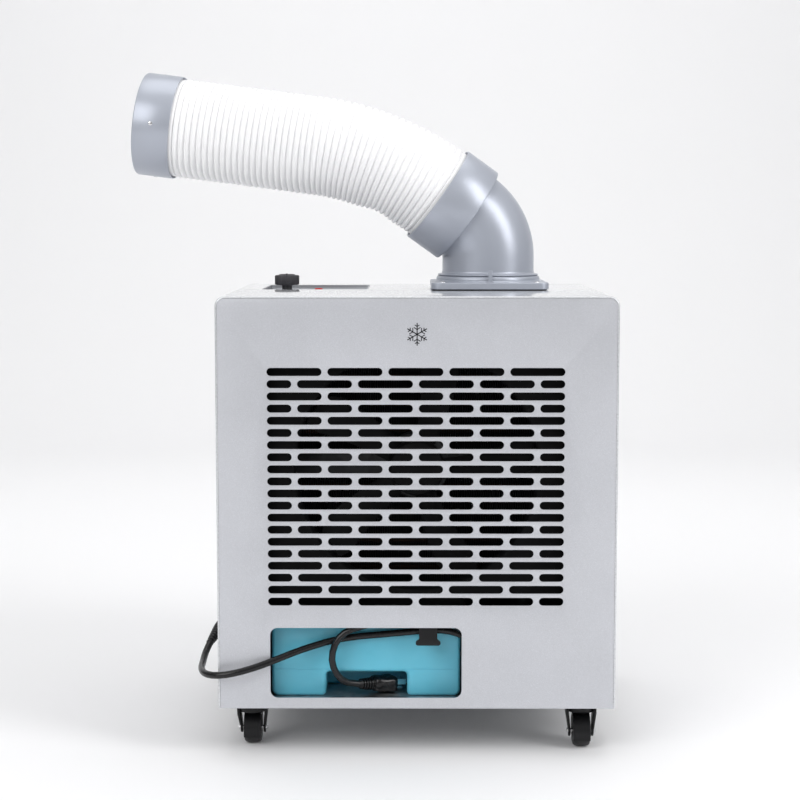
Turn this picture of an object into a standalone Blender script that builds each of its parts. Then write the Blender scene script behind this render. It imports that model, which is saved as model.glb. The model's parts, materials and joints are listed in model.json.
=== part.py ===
"""Portable air conditioner: a sheet metal cabinet on four casters, with a swivelling elbow and a
flexible air hose on top, a condensate tank in a bay at the bottom, and its cooling circuit inside.

Metres, +Z up, floor at z = 0, front face towards -Y. Every size below is measured from the middle of
the cabinet; the whole assembly hangs on one empty, which sets the cabinet off centre so that the box
round the object, hose included, is centred on the origin.
"""

import math

import bmesh
import bpy
from mathutils import Matrix, Vector

# Cabinet
CABINET_X = 0.0525
WIDTH, DEPTH = 0.400, 0.340
BOTTOM, TOP = 0.049, 0.464
FOLD_RADIUS = 0.010
SHEET = 0.0012
GAP = 0.0003
EASE = 0.001
THROUGH = 0.02
FRONT, BACK = -DEPTH / 2, DEPTH / 2
INNER_HALF = WIDTH / 2 - SHEET - GAP
PAN_FLOOR = 0.0565
PAN_SHEET = 0.0015
PARTITION_Y, PARTITION_THICKNESS, PARTITION_SPAN = -0.0470, 0.0020, (-0.1960, 0.1720)

# Front grille: rows of long slots, every second row set off by half a pitch
SLOT_HEIGHT, LONG_SLOT, SHORT_SLOT = 0.008, 0.0545, 0.0245
SLOT_PITCH, ROW_PITCH, ROWS, FIELD_TOP = 0.0603, 0.01215, 20, 0.3892
FIELD_CENTRE, REAR_ROWS = -0.0012, 9

# Tank bay
WINDOW_LEFT, WINDOW_RIGHT, WINDOW_LOW, WINDOW_HIGH = -0.1472, 0.0450, 0.0600, 0.1315
WINDOW_RADIUS = 0.0075
TANK_LEFT, TANK_RIGHT, TANK_TOP = -0.1458, 0.0428, 0.1320
TANK_FRONT, TANK_BACK, TANK_CLEARANCE = -0.1500, 0.1685, 0.003
NOTCH_LEFT, NOTCH_RIGHT, NOTCH_TOP, NOTCH_DEPTH = -0.0922, -0.0098, 0.0814, 0.048
TANK_WALL, TANK_CORNER, NOTCH_CORNER = 0.002, 0.007, 0.004
TANK_MOUTH_RADIUS = 0.020
DRIP_X, DRIP_Y, DRIP_HOLE = -0.0500, 0.0800, 0.009
COVER_UNDER, COVER_WALL_X, COVER_FRONT, COVER_LENGTH = 0.1360, 0.0500, -0.1480, 0.316
COVER_WALL_FRONT = -0.1320
STOP_X, STOP_LOW, STOP_HIGH, STOP_NECK, STOP_FOOT = 0.0114, 0.1130, 0.1355, 0.0092, 0.0125
STOP_THICKNESS = 0.0060

# Drain pan under the evaporator
DRAIN_LOW, DRAIN_HIGH, DRAIN_WALL = (-0.1600, 0.0960, 0.1640), (0.1480, 0.1500, 0.1860), 0.0015
DRAIN_Y, DRAIN_HOLE, DRAIN_TUBE_RADIUS, DRAIN_TUBE_END = 0.1100, 0.0045, 0.006, 0.1340

# Outlet
PIPE_X, PIPE_Y, PIPE_RADIUS, PIPE_WALL = 0.0785, 0.0320, 0.0498, 0.0020
OUTLET_RADIUS = 0.0500
FLANGE_SIDE, FLANGE_RADIUS, GASKET_INSET = 0.125, 0.010, 0.003
RING_INNER, RING_OUTER = 0.0476, 0.0555
FOOT_INNER, FOOT_WAIST, FOOT_OUTER, FOOT_DEPTH = 0.0448, 0.0472, 0.0545, 0.004
LATCH_REACH, LATCH_THICKNESS, LATCH_WIDTH = 0.0565, 0.0022, 0.0044
GASKET_TOP, FLANGE_TOP, RING_TOP, LIP_TOP = 0.4650, 0.4722, 0.4783, 0.4806
BEND_START, BEND_RADIUS, BEND_ANGLE = 0.4990, 0.0545, math.radians(54.5)
ELBOW_TURN = math.radians(6)
SPIGOT_LENGTH = 0.018
COLLAR_LENGTH, COLLAR_RADIUS, COLLAR_WALL, COLLAR_LIP = 0.0405, 0.0565, 0.0020, 0.003
NOZZLE_LENGTH, NOZZLE_RADIUS, NOZZLE_BORE = 0.040, 0.0552, 0.0500
HOSE_RADIUS, HOSE_WALL = 0.0530, 0.002
HOSE_BEND_LENGTH, HOSE_STRAIGHT_LENGTH, HOSE_TUCK = 0.1416, 0.1526, 0.014
HOSE_RISE, HOSE_TURN = math.radians(7.4), math.radians(4.7)
NOZZLE_PIVOT = 0.010

# Casters
CASTER_X, CASTER_Y = 0.1690, 0.1255
WHEEL_RADIUS, WHEEL_WIDTH, WHEEL_BORE, TRAIL = 0.016, 0.018, 0.0024, 0.006
AXLE_RADIUS, AXLE_LENGTH = 0.0021, 0.031
MOUNT_HALF, MOUNT_PLATE, BOSS_RADIUS, BOSS_LOW = 0.020, 0.002, 0.0125, 0.0460
CROWN_RADIUS, CROWN_LOW, CROWN_HIGH = 0.0155, 0.0350, 0.0457
ARM_OUTER, ARM_CLEARANCE, ARM_TOP, ARM_TIP = 0.0142, 0.0006, 0.0440, 0.0065

# Controls
TRAY_LOW, TRAY_HIGH, TRAY_DEPTH = (-0.1670, 0.0000), (-0.0520, 0.1300), 0.0055
TRAY_RIM, TRAY_WALL = 0.008, 0.0015
TRAY_FLOOR = TOP - TRAY_DEPTH
KNOB_X, KNOB_Y, KNOB_BOTTOM, KNOB_TOP = -0.1435, 0.0650, 0.4666, 0.4775
KNOB_RADIUS, KNOB_STEM, GRIP_HALF_WIDTH, GRIP_TOP = 0.0136, 0.0062, 0.0035, 0.4794
SHAFT_RADIUS, SHAFT_HOLE, SHAFT_DEPTH = 0.0030, 0.0037, 0.010
THERMOSTAT_HALF_X, THERMOSTAT_HALF_Y, THERMOSTAT_HEIGHT = 0.016, 0.020, 0.026
SWITCH_X, SWITCH_Y = -0.1080, 0.0650
SWITCH_FRAME, SWITCH_BARREL, SWITCH_POCKET = (0.0080, 0.0110), (0.0060, 0.0090), (0.0047, 0.0083)
SWITCH_HOLE = (0.0065, 0.0095)
SWITCH_RIM, SWITCH_DEPTH, POCKET_DEPTH = 0.0022, 0.018, 0.0075
ROCKER_WIDTH, ROCKER_AXIS_DEPTH, ROCKER_REST = 0.0086, 0.0010, math.radians(-7)

# Cooling circuit
CONDENSER_LOW, CONDENSER_HIGH = (-0.1500, -0.0840, 0.1620), (0.1500, -0.0580, 0.4200)
EVAPORATOR_LOW, EVAPORATOR_HIGH = (-0.1500, 0.1060, 0.1960), (0.1400, 0.1360, 0.4200)
END_PLATE, END_MARGIN_Y, END_MARGIN_Z = 0.002, 0.002, 0.003
COMPRESSOR_X, COMPRESSOR_Y, COMPRESSOR_FOOT = 0.1280, 0.0300, 0.0655
LUG_REACH, LUG_RADIUS, LUG_THICKNESS, RUBBER_FOOT_RADIUS = 0.058, 0.009, 0.0025, 0.0075
PIPE_CORNER = 0.011

# Condenser fan
FAN_HEIGHT, FAN_Y, FAN_TIP, FAN_HUB = 0.2900, -0.1390, 0.1180, 0.0280
FAN_BLADES, FAN_PITCH = 5, math.radians(32)
BLADE_CHORD, BLADE_THICKNESS = 0.046, 0.0018
SHROUD_FACE, SHROUD_RADIUS, SHROUD_LENGTH, SHROUD_SHEET = -0.1530, 0.1220, 0.0230, 0.0015
SHROUD_HALF_WIDTH, SHROUD_HALF_HEIGHT = 0.1560, 0.1290
MOTOR_BORE, FAN_SHAFT = 0.0045, 0.0040
FAN_MOTOR_Y, FAN_MOTOR_RADIUS, FAN_MOTOR_LENGTH = -0.1255, 0.0330, 0.0240
BAR_Y, BAR_HALF_HEIGHT, BAR_THICKNESS = -0.1053, 0.012, 0.003

# Blower
BLOWER_X, BLOWER_Z, BLOWER_FRONT, BLOWER_DEPTH = 0.0575, 0.3350, -0.0010, 0.0660
BLOWER_WALL, BLOWER_RADIUS, THROAT_HALF, INLET_RADIUS = 0.0020, 0.0680, 0.0460, 0.0420
BLOWER_RIM, BLOWER_BAND, BLOWER_VANES = 0.0560, 0.0430, 10
BLOWER_MOTOR_RADIUS, BLOWER_MOTOR_LENGTH = 0.0300, 0.0300

# Electrics
ELECTRICS_LOW, ELECTRICS_HIGH = (-0.1850, -0.0440, 0.3000), (-0.0850, -0.0040, 0.4000)

# Mains lead
LEAD_RADIUS = 0.0035
COIL_CENTRE, COIL_RADIUS, COIL_LAYERS = (0.1250, -0.1150), 0.0361, 3
GLAND = (-WIDTH / 2, -0.0780, 0.1120)
BOOT_AXIS = Vector((-0.36, -0.78, -0.51)).normalized()
BOOT_LENGTH = 0.026
NUT_RADIUS, NUT_LENGTH, GLAND_SLEEVE, GLAND_HOLE = 0.0095, 0.0060, 0.0050, 0.0055
PLUG_RELIEF, PLUG_BODY, PLUG_BLADE = 0.0150, 0.0245, 0.0110

# From the boot round the front corner, in at the window, behind the tank stop and down to the coil
LEAD_FRONT = [
    (-0.2190, -0.1095, 0.0918),
    (-0.2197, -0.1270, 0.0868),
    (-0.2190, -0.1470, 0.0845),
    (-0.2137, -0.1660, 0.0842),
    (-0.2040, -0.1778, 0.0850),
    (-0.1905, -0.1832, 0.0870),
    (-0.1735, -0.1820, 0.0905),
    (-0.1560, -0.1780, 0.0952),
    (-0.1400, -0.1722, 0.1002),
    (-0.1230, -0.1650, 0.1055),
    (-0.1050, -0.1592, 0.1105),
    (-0.0850, -0.1558, 0.1155),
    (-0.0620, -0.1550, 0.1192),
    (-0.0380, -0.1550, 0.1215),
    (-0.0120, -0.1550, 0.1238),
    (0.0130, -0.1550, 0.1260),
    (0.0330, -0.1552, 0.1250),
    (0.0500, -0.1550, 0.1188),
    (0.0640, -0.1510, 0.1085),
    (0.0755, -0.1425, 0.0980),
    (0.0830, -0.1310, 0.0895),
]
# From the coil up behind the panel, above the window, and down in front of the first run to the plug
LEAD_RETURN = [
    (0.1080, -0.1535, 0.0858),
    (0.0910, -0.1570, 0.0925),
    (0.0755, -0.1605, 0.1035),
    (0.0610, -0.1628, 0.1165),
    (0.0450, -0.1635, 0.1290),
    (0.0265, -0.1635, 0.1385),
    (0.0050, -0.1635, 0.1428),
    (-0.0180, -0.1635, 0.1408),
    (-0.0400, -0.1635, 0.1360),
    (-0.0599, -0.1637, 0.1305),
    (-0.0723, -0.1641, 0.1254),
    (-0.0813, -0.1645, 0.1155),
    (-0.0855, -0.1648, 0.1000),
    (-0.0819, -0.1628, 0.0845),
    (-0.0720, -0.1572, 0.0732),
]
PLUG_START = Vector((-0.0585, -0.1496, 0.0690))
PLUG_AXIS = Vector((0.866, 0.488, -0.095)).normalized()

X, Y, Z = Vector((1, 0, 0)), Vector((0, 1, 0)), Vector((0, 0, 1))


# ---------------------------------------------------------------- scene and helpers

for old in list(bpy.data.objects):
    bpy.data.objects.remove(old, do_unlink=True)
MODEL = bpy.data.collections.new("portable_air_conditioner")
bpy.context.scene.collection.children.link(MODEL)
ASSEMBLY = bpy.data.objects.new("assembly", None)
ASSEMBLY.location = (CABINET_X, 0, 0)
MODEL.objects.link(ASSEMBLY)


def material(name, colour, roughness, metallic=0.0):
    made = bpy.data.materials.new(name)
    made.use_nodes = True
    shader = made.node_tree.nodes["Principled BSDF"]
    shader.inputs["Base Color"].default_value = (*colour, 1)
    shader.inputs["Roughness"].default_value = roughness
    shader.inputs["Metallic"].default_value = metallic
    return made


SILVER_PAINT = material("silver_paint", (0.56, 0.57, 0.60), 0.38, 0.35)
GREY_PLASTIC = material("grey_plastic", (0.42, 0.45, 0.50), 0.32)
WHITE_HOSE = material("white_hose", (0.86, 0.86, 0.87), 0.45)
CYAN_PLASTIC = material("cyan_plastic", (0.12, 0.46, 0.58), 0.40)
BLACK_PLASTIC = material("black_plastic", (0.02, 0.02, 0.022), 0.45)
BLACK_RUBBER = material("black_rubber", (0.012, 0.012, 0.013), 0.6)
DARK_TREAD = material("dark_tread", (0.045, 0.045, 0.05), 0.55)
RED_PLASTIC = material("red_plastic", (0.65, 0.03, 0.02), 0.35)
BRIGHT_STEEL = material("bright_steel", (0.70, 0.70, 0.72), 0.25, 1.0)
ZINC_STEEL = material("zinc_steel", (0.50, 0.51, 0.52), 0.45, 0.9)
FIN_ALUMINIUM = material("fin_aluminium", (0.62, 0.64, 0.66), 0.35, 1.0)
COPPER = material("copper", (0.72, 0.38, 0.24), 0.3, 1.0)
BLACK_PAINT = material("black_paint", (0.02, 0.02, 0.02), 0.4, 0.2)
FOAM = material("foam", (0.03, 0.03, 0.03), 0.9)


def add(name, data, look):
    """A named object in the cabinet's own coordinates."""
    obj = bpy.data.objects.new(name, data)
    MODEL.objects.link(obj)
    obj.parent = ASSEMBLY
    data.materials.clear()
    data.materials.append(look)
    return obj


def bake(obj):
    """The same object as a plain mesh: its modifiers applied, its caps welded, its normals out."""
    bpy.context.view_layer.update()
    graph = bpy.context.evaluated_depsgraph_get()
    mesh = bpy.data.meshes.new_from_object(obj.evaluated_get(graph))
    work = bmesh.new()
    work.from_mesh(mesh)
    bmesh.ops.remove_doubles(work, verts=work.verts, dist=0.000001)
    bmesh.ops.recalc_face_normals(work, faces=work.faces)
    work.to_mesh(mesh)
    work.free()
    name, look = obj.name, obj.data.materials[0]
    bpy.data.objects.remove(obj, do_unlink=True)
    return add(name, mesh, look)


def combine(obj, others, operation):
    for other in others:
        step = obj.modifiers.new(operation.lower(), "BOOLEAN")
        step.operation = operation
        step.object = other
    made = bake(obj)
    for other in others:
        bpy.data.objects.remove(other, do_unlink=True)
    return made


def cut(obj, *cutters):
    return combine(obj, cutters, "DIFFERENCE")


def fuse(obj, *others):
    return combine(obj, others, "UNION")


def shade(obj, degrees=35):
    obj.data.shade_smooth()
    obj.data.set_sharp_from_angle(angle=math.radians(degrees))
    return obj


def pivot(obj, point):
    """Moves the object's origin to a point, such as one on its joint's axis."""
    obj.data.transform(Matrix.Translation(-Vector(point)))
    obj.location = point
    return obj


def turn_to(direction, point):
    """The matrix that stands a shape made along +Z on a point, along a direction."""
    return Matrix.Translation(point) @ Vector(direction).to_track_quat("Z", "Y").to_matrix().to_4x4()


def box(name, low, high, look):
    mesh = bpy.data.meshes.new(name)
    work = bmesh.new()
    bmesh.ops.create_cube(work, size=1)
    low, high = Vector(low), Vector(high)
    size = Matrix.Diagonal((high - low).to_4d())
    size[3][3] = 1
    work.transform(Matrix.Translation((low + high) / 2) @ size)
    work.to_mesh(mesh)
    work.free()
    return add(name, mesh, look)


def turned(name, profile, steps, look, at=(0, 0, 0), along=Z):
    """A profile of (radius, height) points turned about its own axis, which then points along."""
    mesh = bpy.data.meshes.new(name)
    ring = profile[0][0] > 0
    edges = [(i, i + 1) for i in range(len(profile) - 1)] + [(len(profile) - 1, 0)] * ring
    mesh.from_pydata([(radius, 0, height) for radius, height in profile], edges, [])
    obj = add(name, mesh, look)
    screw = obj.modifiers.new("turn", "SCREW")
    screw.steps = screw.render_steps = steps
    screw.use_merge_vertices = True
    screw.merge_threshold = 0.00001
    obj = bake(obj)
    obj.data.transform(turn_to(along, at))
    return shade(obj)


def cylinder(name, radius, start, along, length, look, steps=20):
    profile = [(0, 0), (radius, 0), (radius, length), (0, length)]
    return turned(name, profile, steps, look, start, along)


def pipe_ring(name, inner, outer, start, along, length, look, steps=32):
    profile = [(inner, 0), (outer, 0), (outer, length), (inner, length)]
    return turned(name, profile, steps, look, start, along)


def plate(name, outlines, depth, look, facing=Y, at=0.0):
    """Flat outlines, the later ones holes, made into a plate from at to at + depth.

    An outline lies in XZ and is extruded along Y, or in XY and along Z, or in YZ and along X.
    """
    data = bpy.data.curves.new(name, "CURVE")
    data.dimensions = "2D"
    data.fill_mode = "BOTH"
    data.extrude = depth / 2
    for points in outlines:
        spline = data.splines.new("POLY")
        spline.points.add(len(points) - 1)
        for point, (across, up) in zip(spline.points, points):
            point.co = (across, up, 0, 1)
        spline.use_cyclic_u = True
    middle = at + depth / 2
    lay = {
        "Y": Matrix(((1, 0, 0, 0), (0, 0, -1, middle), (0, 1, 0, 0), (0, 0, 0, 1))),
        "Z": Matrix.Translation((0, 0, middle)),
        "X": Matrix(((0, 0, 1, middle), (1, 0, 0, 0), (0, 1, 0, 0), (0, 0, 0, 1))),
    }["XYZ"[max(range(3), key=lambda i: facing[i])]]
    obj = bake(add(name, data, look))
    obj.data.transform(lay)
    return shade(obj)


def arc(centre, radius, start, end, steps):
    """Points on an arc, from start to end in degrees."""
    angles = [math.radians(start + (end - start) * i / steps) for i in range(steps + 1)]
    return [(centre[0] + radius * math.cos(a), centre[1] + radius * math.sin(a)) for a in angles]


def rounded(low, high, radius, steps=3):
    (left, bottom), (right, top) = low, high
    return (
        arc((right - radius, top - radius), radius, 0, 90, steps)
        + arc((left + radius, top - radius), radius, 90, 180, steps)
        + arc((left + radius, bottom + radius), radius, 180, 270, steps)
        + arc((right - radius, bottom + radius), radius, 270, 360, steps)
    )


def slot(middle, height, length):
    """A long hole with round ends."""
    radius = SLOT_HEIGHT / 2
    reach = length / 2 - radius
    right = arc((middle + reach, height), radius, -90, 90, 2)
    left = arc((middle - reach, height), radius, 90, 270, 2)
    return right + left


def arch(half_width, bottom, top, radius):
    """The cabinet's front outline, from the bottom left over the two rounded top corners."""
    left = arc((radius - half_width, top - radius), radius, 180, 90, 4)
    right = arc((half_width - radius, top - radius), radius, 90, 0, 4)
    return [(-half_width, bottom)] + left + right + [(half_width, bottom)]


def smooth_route(points, spacing):
    """Evenly spaced points on the smooth curve through a route's own points."""
    route = [Vector(point) for point in points]
    ends = [2 * route[0] - route[1]] + route + [2 * route[-1] - route[-2]]
    fine = []
    for before, start, end, after in zip(ends, ends[1:], ends[2:], ends[3:]):
        for i in range(24):
            t = i / 24
            fine.append(
                0.5
                * (
                    2 * start
                    + (end - before) * t
                    + (2 * before - 5 * start + 4 * end - after) * t**2
                    + (3 * start - before - 3 * end + after) * t**3
                )
            )
    fine.append(route[-1])
    lengths = [0.0]
    for start, end in zip(fine, fine[1:]):
        lengths.append(lengths[-1] + (end - start).length)
    count = max(2, round(lengths[-1] / spacing))
    even, at = [], 0
    for i in range(count + 1):
        goal = lengths[-1] * i / count
        while at < len(lengths) - 2 and lengths[at + 1] < goal:
            at += 1
        share = (goal - lengths[at]) / (lengths[at + 1] - lengths[at])
        even.append(fine[at].lerp(fine[at + 1], share))
    return even


def tube(name, points, radius, look, resolution=2, capped=True):
    data = bpy.data.curves.new(name, "CURVE")
    data.dimensions = "3D"
    data.bevel_depth = radius
    data.bevel_resolution = resolution
    data.use_fill_caps = capped
    spline = data.splines.new("POLY")
    spline.points.add(len(points) - 1)
    for point, place in zip(spline.points, points):
        point.co = (*place, 1)
    return add(name, data, look)


def shell(name, points, radius, wall, look, resolution):
    """A hollow tube: the open surface of a bevelled curve, thickened inwards."""
    obj = bake(tube(name, points, radius, look, resolution, capped=False))
    thicken = obj.modifiers.new("wall", "SOLIDIFY")
    thicken.thickness = wall
    thicken.offset = -1
    return shade(bake(obj))


def copy_of(obj, name):
    """Another object on the same mesh."""
    twin = bpy.data.objects.new(name, obj.data)
    twin.parent = obj.parent
    MODEL.objects.link(twin)
    return twin


# ---------------------------------------------------------------- cabinet


def base_pan():
    """A tray turned upside down: a raised floor with its four edges folded down."""
    edge = DEPTH / 2 - SHEET - GAP
    pan = box("base_pan", (-INNER_HALF, -edge, BOTTOM + GAP), (INNER_HALF, edge, PAN_FLOOR), ZINC_STEEL)
    hollow = box(
        "hollow",
        (-INNER_HALF + PAN_SHEET, -edge + PAN_SHEET, 0),
        (INNER_HALF - PAN_SHEET, edge - PAN_SHEET, PAN_FLOOR - PAN_SHEET),
        ZINC_STEEL,
    )
    cut(pan, hollow)


def casing():
    """Top and both sides in one folded sheet, open for the outlet, the controls and the lead."""
    outer = arch(WIDTH / 2, BOTTOM, TOP, FOLD_RADIUS)
    inner = arch(WIDTH / 2 - SHEET, BOTTOM, TOP - SHEET, FOLD_RADIUS - SHEET)
    sheet = plate("casing", [outer + inner[::-1]], DEPTH, SILVER_PAINT, Y, FRONT)
    under = TOP - THROUGH / 2
    outlet = cylinder("hole", OUTLET_RADIUS, (PIPE_X, PIPE_Y, under), Z, THROUGH, SILVER_PAINT, 32)
    tray = box("hole", (*TRAY_LOW, under), (*TRAY_HIGH, under + THROUGH), SILVER_PAINT)
    outside = (GLAND[0] - THROUGH / 2, GLAND[1], GLAND[2])
    gland = cylinder("hole", GLAND_HOLE, outside, X, THROUGH, SILVER_PAINT, 12)
    shade(cut(sheet, outlet, tray, gland))


def panel_outline():
    """The outline of the front and rear panels, a gap inside the folded sheet."""
    return arch(INNER_HALF, BOTTOM, TOP - SHEET - GAP, FOLD_RADIUS - SHEET - GAP)


def front_panel():
    window = rounded((WINDOW_LEFT, WINDOW_LOW), (WINDOW_RIGHT, WINDOW_HIGH), WINDOW_RADIUS)
    holes = [window]
    for row in range(ROWS):
        height = FIELD_TOP - row * ROW_PITCH
        if row % 2 == 0:
            holes += [slot(FIELD_CENTRE + i * SLOT_PITCH, height, LONG_SLOT) for i in range(-2, 3)]
            continue
        holes += [slot(FIELD_CENTRE + (i + 0.5) * SLOT_PITCH, height, LONG_SLOT) for i in range(-2, 2)]
        end = 2 * SLOT_PITCH + (LONG_SLOT - SHORT_SLOT) / 2
        holes += [slot(FIELD_CENTRE + side * end, height, SHORT_SLOT) for side in (-1, 1)]
    plate("front_panel", [panel_outline()] + holes, SHEET, SILVER_PAINT, Y, FRONT)


def rear_panel():
    """Slots for the air going in, and a low opening that the tank slides through."""
    low = (TANK_LEFT - TANK_CLEARANCE, PAN_FLOOR - EASE)
    high = (TANK_RIGHT + TANK_CLEARANCE, COVER_UNDER)
    holes = [rounded(low, high, NOTCH_CORNER, 2)]
    for row in range(REAR_ROWS):
        height = FIELD_TOP - (0.5 + 2 * row) * ROW_PITCH
        holes += [slot(i * SLOT_PITCH, height, LONG_SLOT) for i in range(-2, 3)]
    plate("rear_panel", [panel_outline()] + holes, SHEET, SILVER_PAINT, Y, BACK - SHEET)


def bay_cover():
    """One folded sheet over and beside the tank, which keeps the machinery apart from it."""
    left, right = -INNER_HALF, COVER_WALL_X + SHEET
    foot, top = PAN_FLOOR + GAP, COVER_UNDER + SHEET
    outline = [(left, COVER_UNDER), (COVER_WALL_X, COVER_UNDER), (COVER_WALL_X, foot), (right, foot)]
    outline += [(right, top), (left, top)]
    cover = plate("bay_cover", [outline], COVER_LENGTH, ZINC_STEEL, Y, COVER_FRONT)
    under = COVER_UNDER - THROUGH / 2
    drip = cylinder("hole", DRIP_HOLE, (DRIP_X, DRIP_Y, under), Z, THROUGH, ZINC_STEEL, 12)
    corner_low = (COVER_WALL_X - THROUGH / 2, COVER_FRONT - THROUGH, 0)
    corner_high = (COVER_WALL_X + THROUGH / 2, COVER_WALL_FRONT, top + THROUGH)
    corner = box("hole", corner_low, corner_high, ZINC_STEEL)
    cut(cover, drip, corner)


def partition():
    """The upright sheet between the hot side in front and the cold side behind."""
    left, right = PARTITION_SPAN
    low, high = COVER_UNDER + SHEET + GAP, TOP - 0.004
    outline = [(left, low), (right, low), (right, high), (left, high)]
    plate("partition", [outline], PARTITION_THICKNESS, ZINC_STEEL, Y, PARTITION_Y)


# ---------------------------------------------------------------- tank and drain


def tank_box(name, inset):
    """The tank's rounded box, each face moved in by the inset."""
    low = (TANK_LEFT + inset, PAN_FLOOR + GAP + inset)
    high = (TANK_RIGHT - inset, TANK_TOP - inset)
    length = TANK_BACK - TANK_FRONT - 2 * inset
    outline = rounded(low, high, TANK_CORNER - inset)
    return plate(name, [outline], length, CYAN_PLASTIC, Y, TANK_FRONT + inset)


def notch(name, grow):
    """The finger notch: a recess into the front of the tank's base, open below, grown by a margin."""
    left, right, top = NOTCH_LEFT - grow, NOTCH_RIGHT + grow, NOTCH_TOP + grow
    corner = NOTCH_CORNER + grow
    outline = arc((left + corner, top - corner), corner, 180, 90, 3)
    outline += arc((right - corner, top - corner), corner, 90, 0, 3)
    outline = [(left, 0)] + outline + [(right, 0)]
    return plate(name, [outline], NOTCH_DEPTH + THROUGH + grow, CYAN_PLASTIC, Y, TANK_FRONT - THROUGH)


def water_tank():
    """Hollow, filled through a round mouth under the drip tube. It slides out to the rear."""
    room = cut(tank_box("room", TANK_WALL), notch("notch", TANK_WALL))
    start = (DRIP_X, DRIP_Y, TANK_TOP - THROUGH / 2)
    mouth = cylinder("mouth", TANK_MOUTH_RADIUS, start, Z, THROUGH, CYAN_PLASTIC)
    tank = cut(tank_box("water_tank", 0), notch("notch", 0), room, mouth)
    shade(pivot(tank, (0, TANK_FRONT, PAN_FLOOR)))


def tank_stop():
    """The black stop that hangs over the tank's front face: a neck with a flared foot."""
    toe, flare = 0.0035, 0.0060
    right = [
        (STOP_X + STOP_FOOT - 2 * EASE, STOP_LOW),
        (STOP_X + STOP_FOOT, STOP_LOW + EASE),
        (STOP_X + STOP_FOOT, STOP_LOW + toe),
        (STOP_X + STOP_NECK, STOP_LOW + flare),
        (STOP_X + STOP_NECK, STOP_HIGH),
    ]
    left = [(2 * STOP_X - across, up) for across, up in right[::-1]]
    plate("tank_stop", [right + left], STOP_THICKNESS, BLACK_PLASTIC, Y, FRONT + SHEET + GAP)


def drain_pan():
    low, high = Vector(DRAIN_LOW), Vector(DRAIN_HIGH)
    wall = Vector((DRAIN_WALL, DRAIN_WALL, DRAIN_WALL))
    pan = box("drain_pan", low, high, BLACK_PLASTIC)
    hollow = box("hollow", low + wall, high - wall + THROUGH * Z, BLACK_PLASTIC)
    start = (DRIP_X, DRAIN_Y, low.z - THROUGH / 2)
    cut(pan, hollow, cylinder("hole", DRAIN_HOLE, start, Z, THROUGH, BLACK_PLASTIC, 12))


def drain_tube():
    """The drip tube, from under the pan down through the bay cover to the tank's mouth."""
    route = [
        (DRIP_X, DRAIN_Y, DRAIN_LOW[2] - GAP),
        (DRIP_X, DRAIN_Y, DRAIN_LOW[2] - DRAIN_TUBE_RADIUS),
        (DRIP_X, (DRAIN_Y + DRIP_Y) / 2, (DRAIN_LOW[2] + COVER_UNDER) / 2),
        (DRIP_X, DRIP_Y, COVER_UNDER + DRAIN_TUBE_RADIUS + SHEET),
        (DRIP_X, DRIP_Y, DRAIN_TUBE_END),
    ]
    tube("drain_tube", smooth_route(route, DRAIN_TUBE_RADIUS), DRAIN_TUBE_RADIUS, BLACK_RUBBER)


# ---------------------------------------------------------------- controls


def control_tray():
    """A shallow dish under an opening in the top, holding the thermostat and the switch."""
    low = Vector((TRAY_LOW[0] + GAP, TRAY_LOW[1] + GAP, TRAY_FLOOR - TRAY_WALL))
    high = Vector((TRAY_HIGH[0] - GAP, TRAY_HIGH[1] - GAP, TOP))
    wall, rim = Vector((TRAY_WALL, TRAY_WALL, TRAY_WALL)), Vector((TRAY_RIM, TRAY_RIM, 0))
    under = TOP - SHEET - GAP
    tray = box("control_tray", low, high, BLACK_PLASTIC)
    flange_low = Vector((low.x, low.y, under - TRAY_WALL)) - rim
    flange = box("flange", flange_low, Vector((high.x, high.y, under)) + rim, BLACK_PLASTIC)
    dish = box("dish", low + wall, high - wall + THROUGH * Z, BLACK_PLASTIC)
    middle = TRAY_FLOOR - THROUGH / 2
    shaft = cylinder("hole", SHAFT_HOLE, (KNOB_X, KNOB_Y, middle), Z, THROUGH, BLACK_PLASTIC, 16)
    switch = switch_block("hole", SWITCH_HOLE, middle, middle + THROUGH)
    cut(fuse(tray, flange), dish, shaft, switch)


def switch_block(name, half_sizes, low, high):
    """A box of half sizes in X and Y round the switch's middle."""
    across, along = half_sizes
    start = (SWITCH_X - across, SWITCH_Y - along, low)
    return box(name, start, (SWITCH_X + across, SWITCH_Y + along, high), BLACK_PLASTIC)


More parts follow.
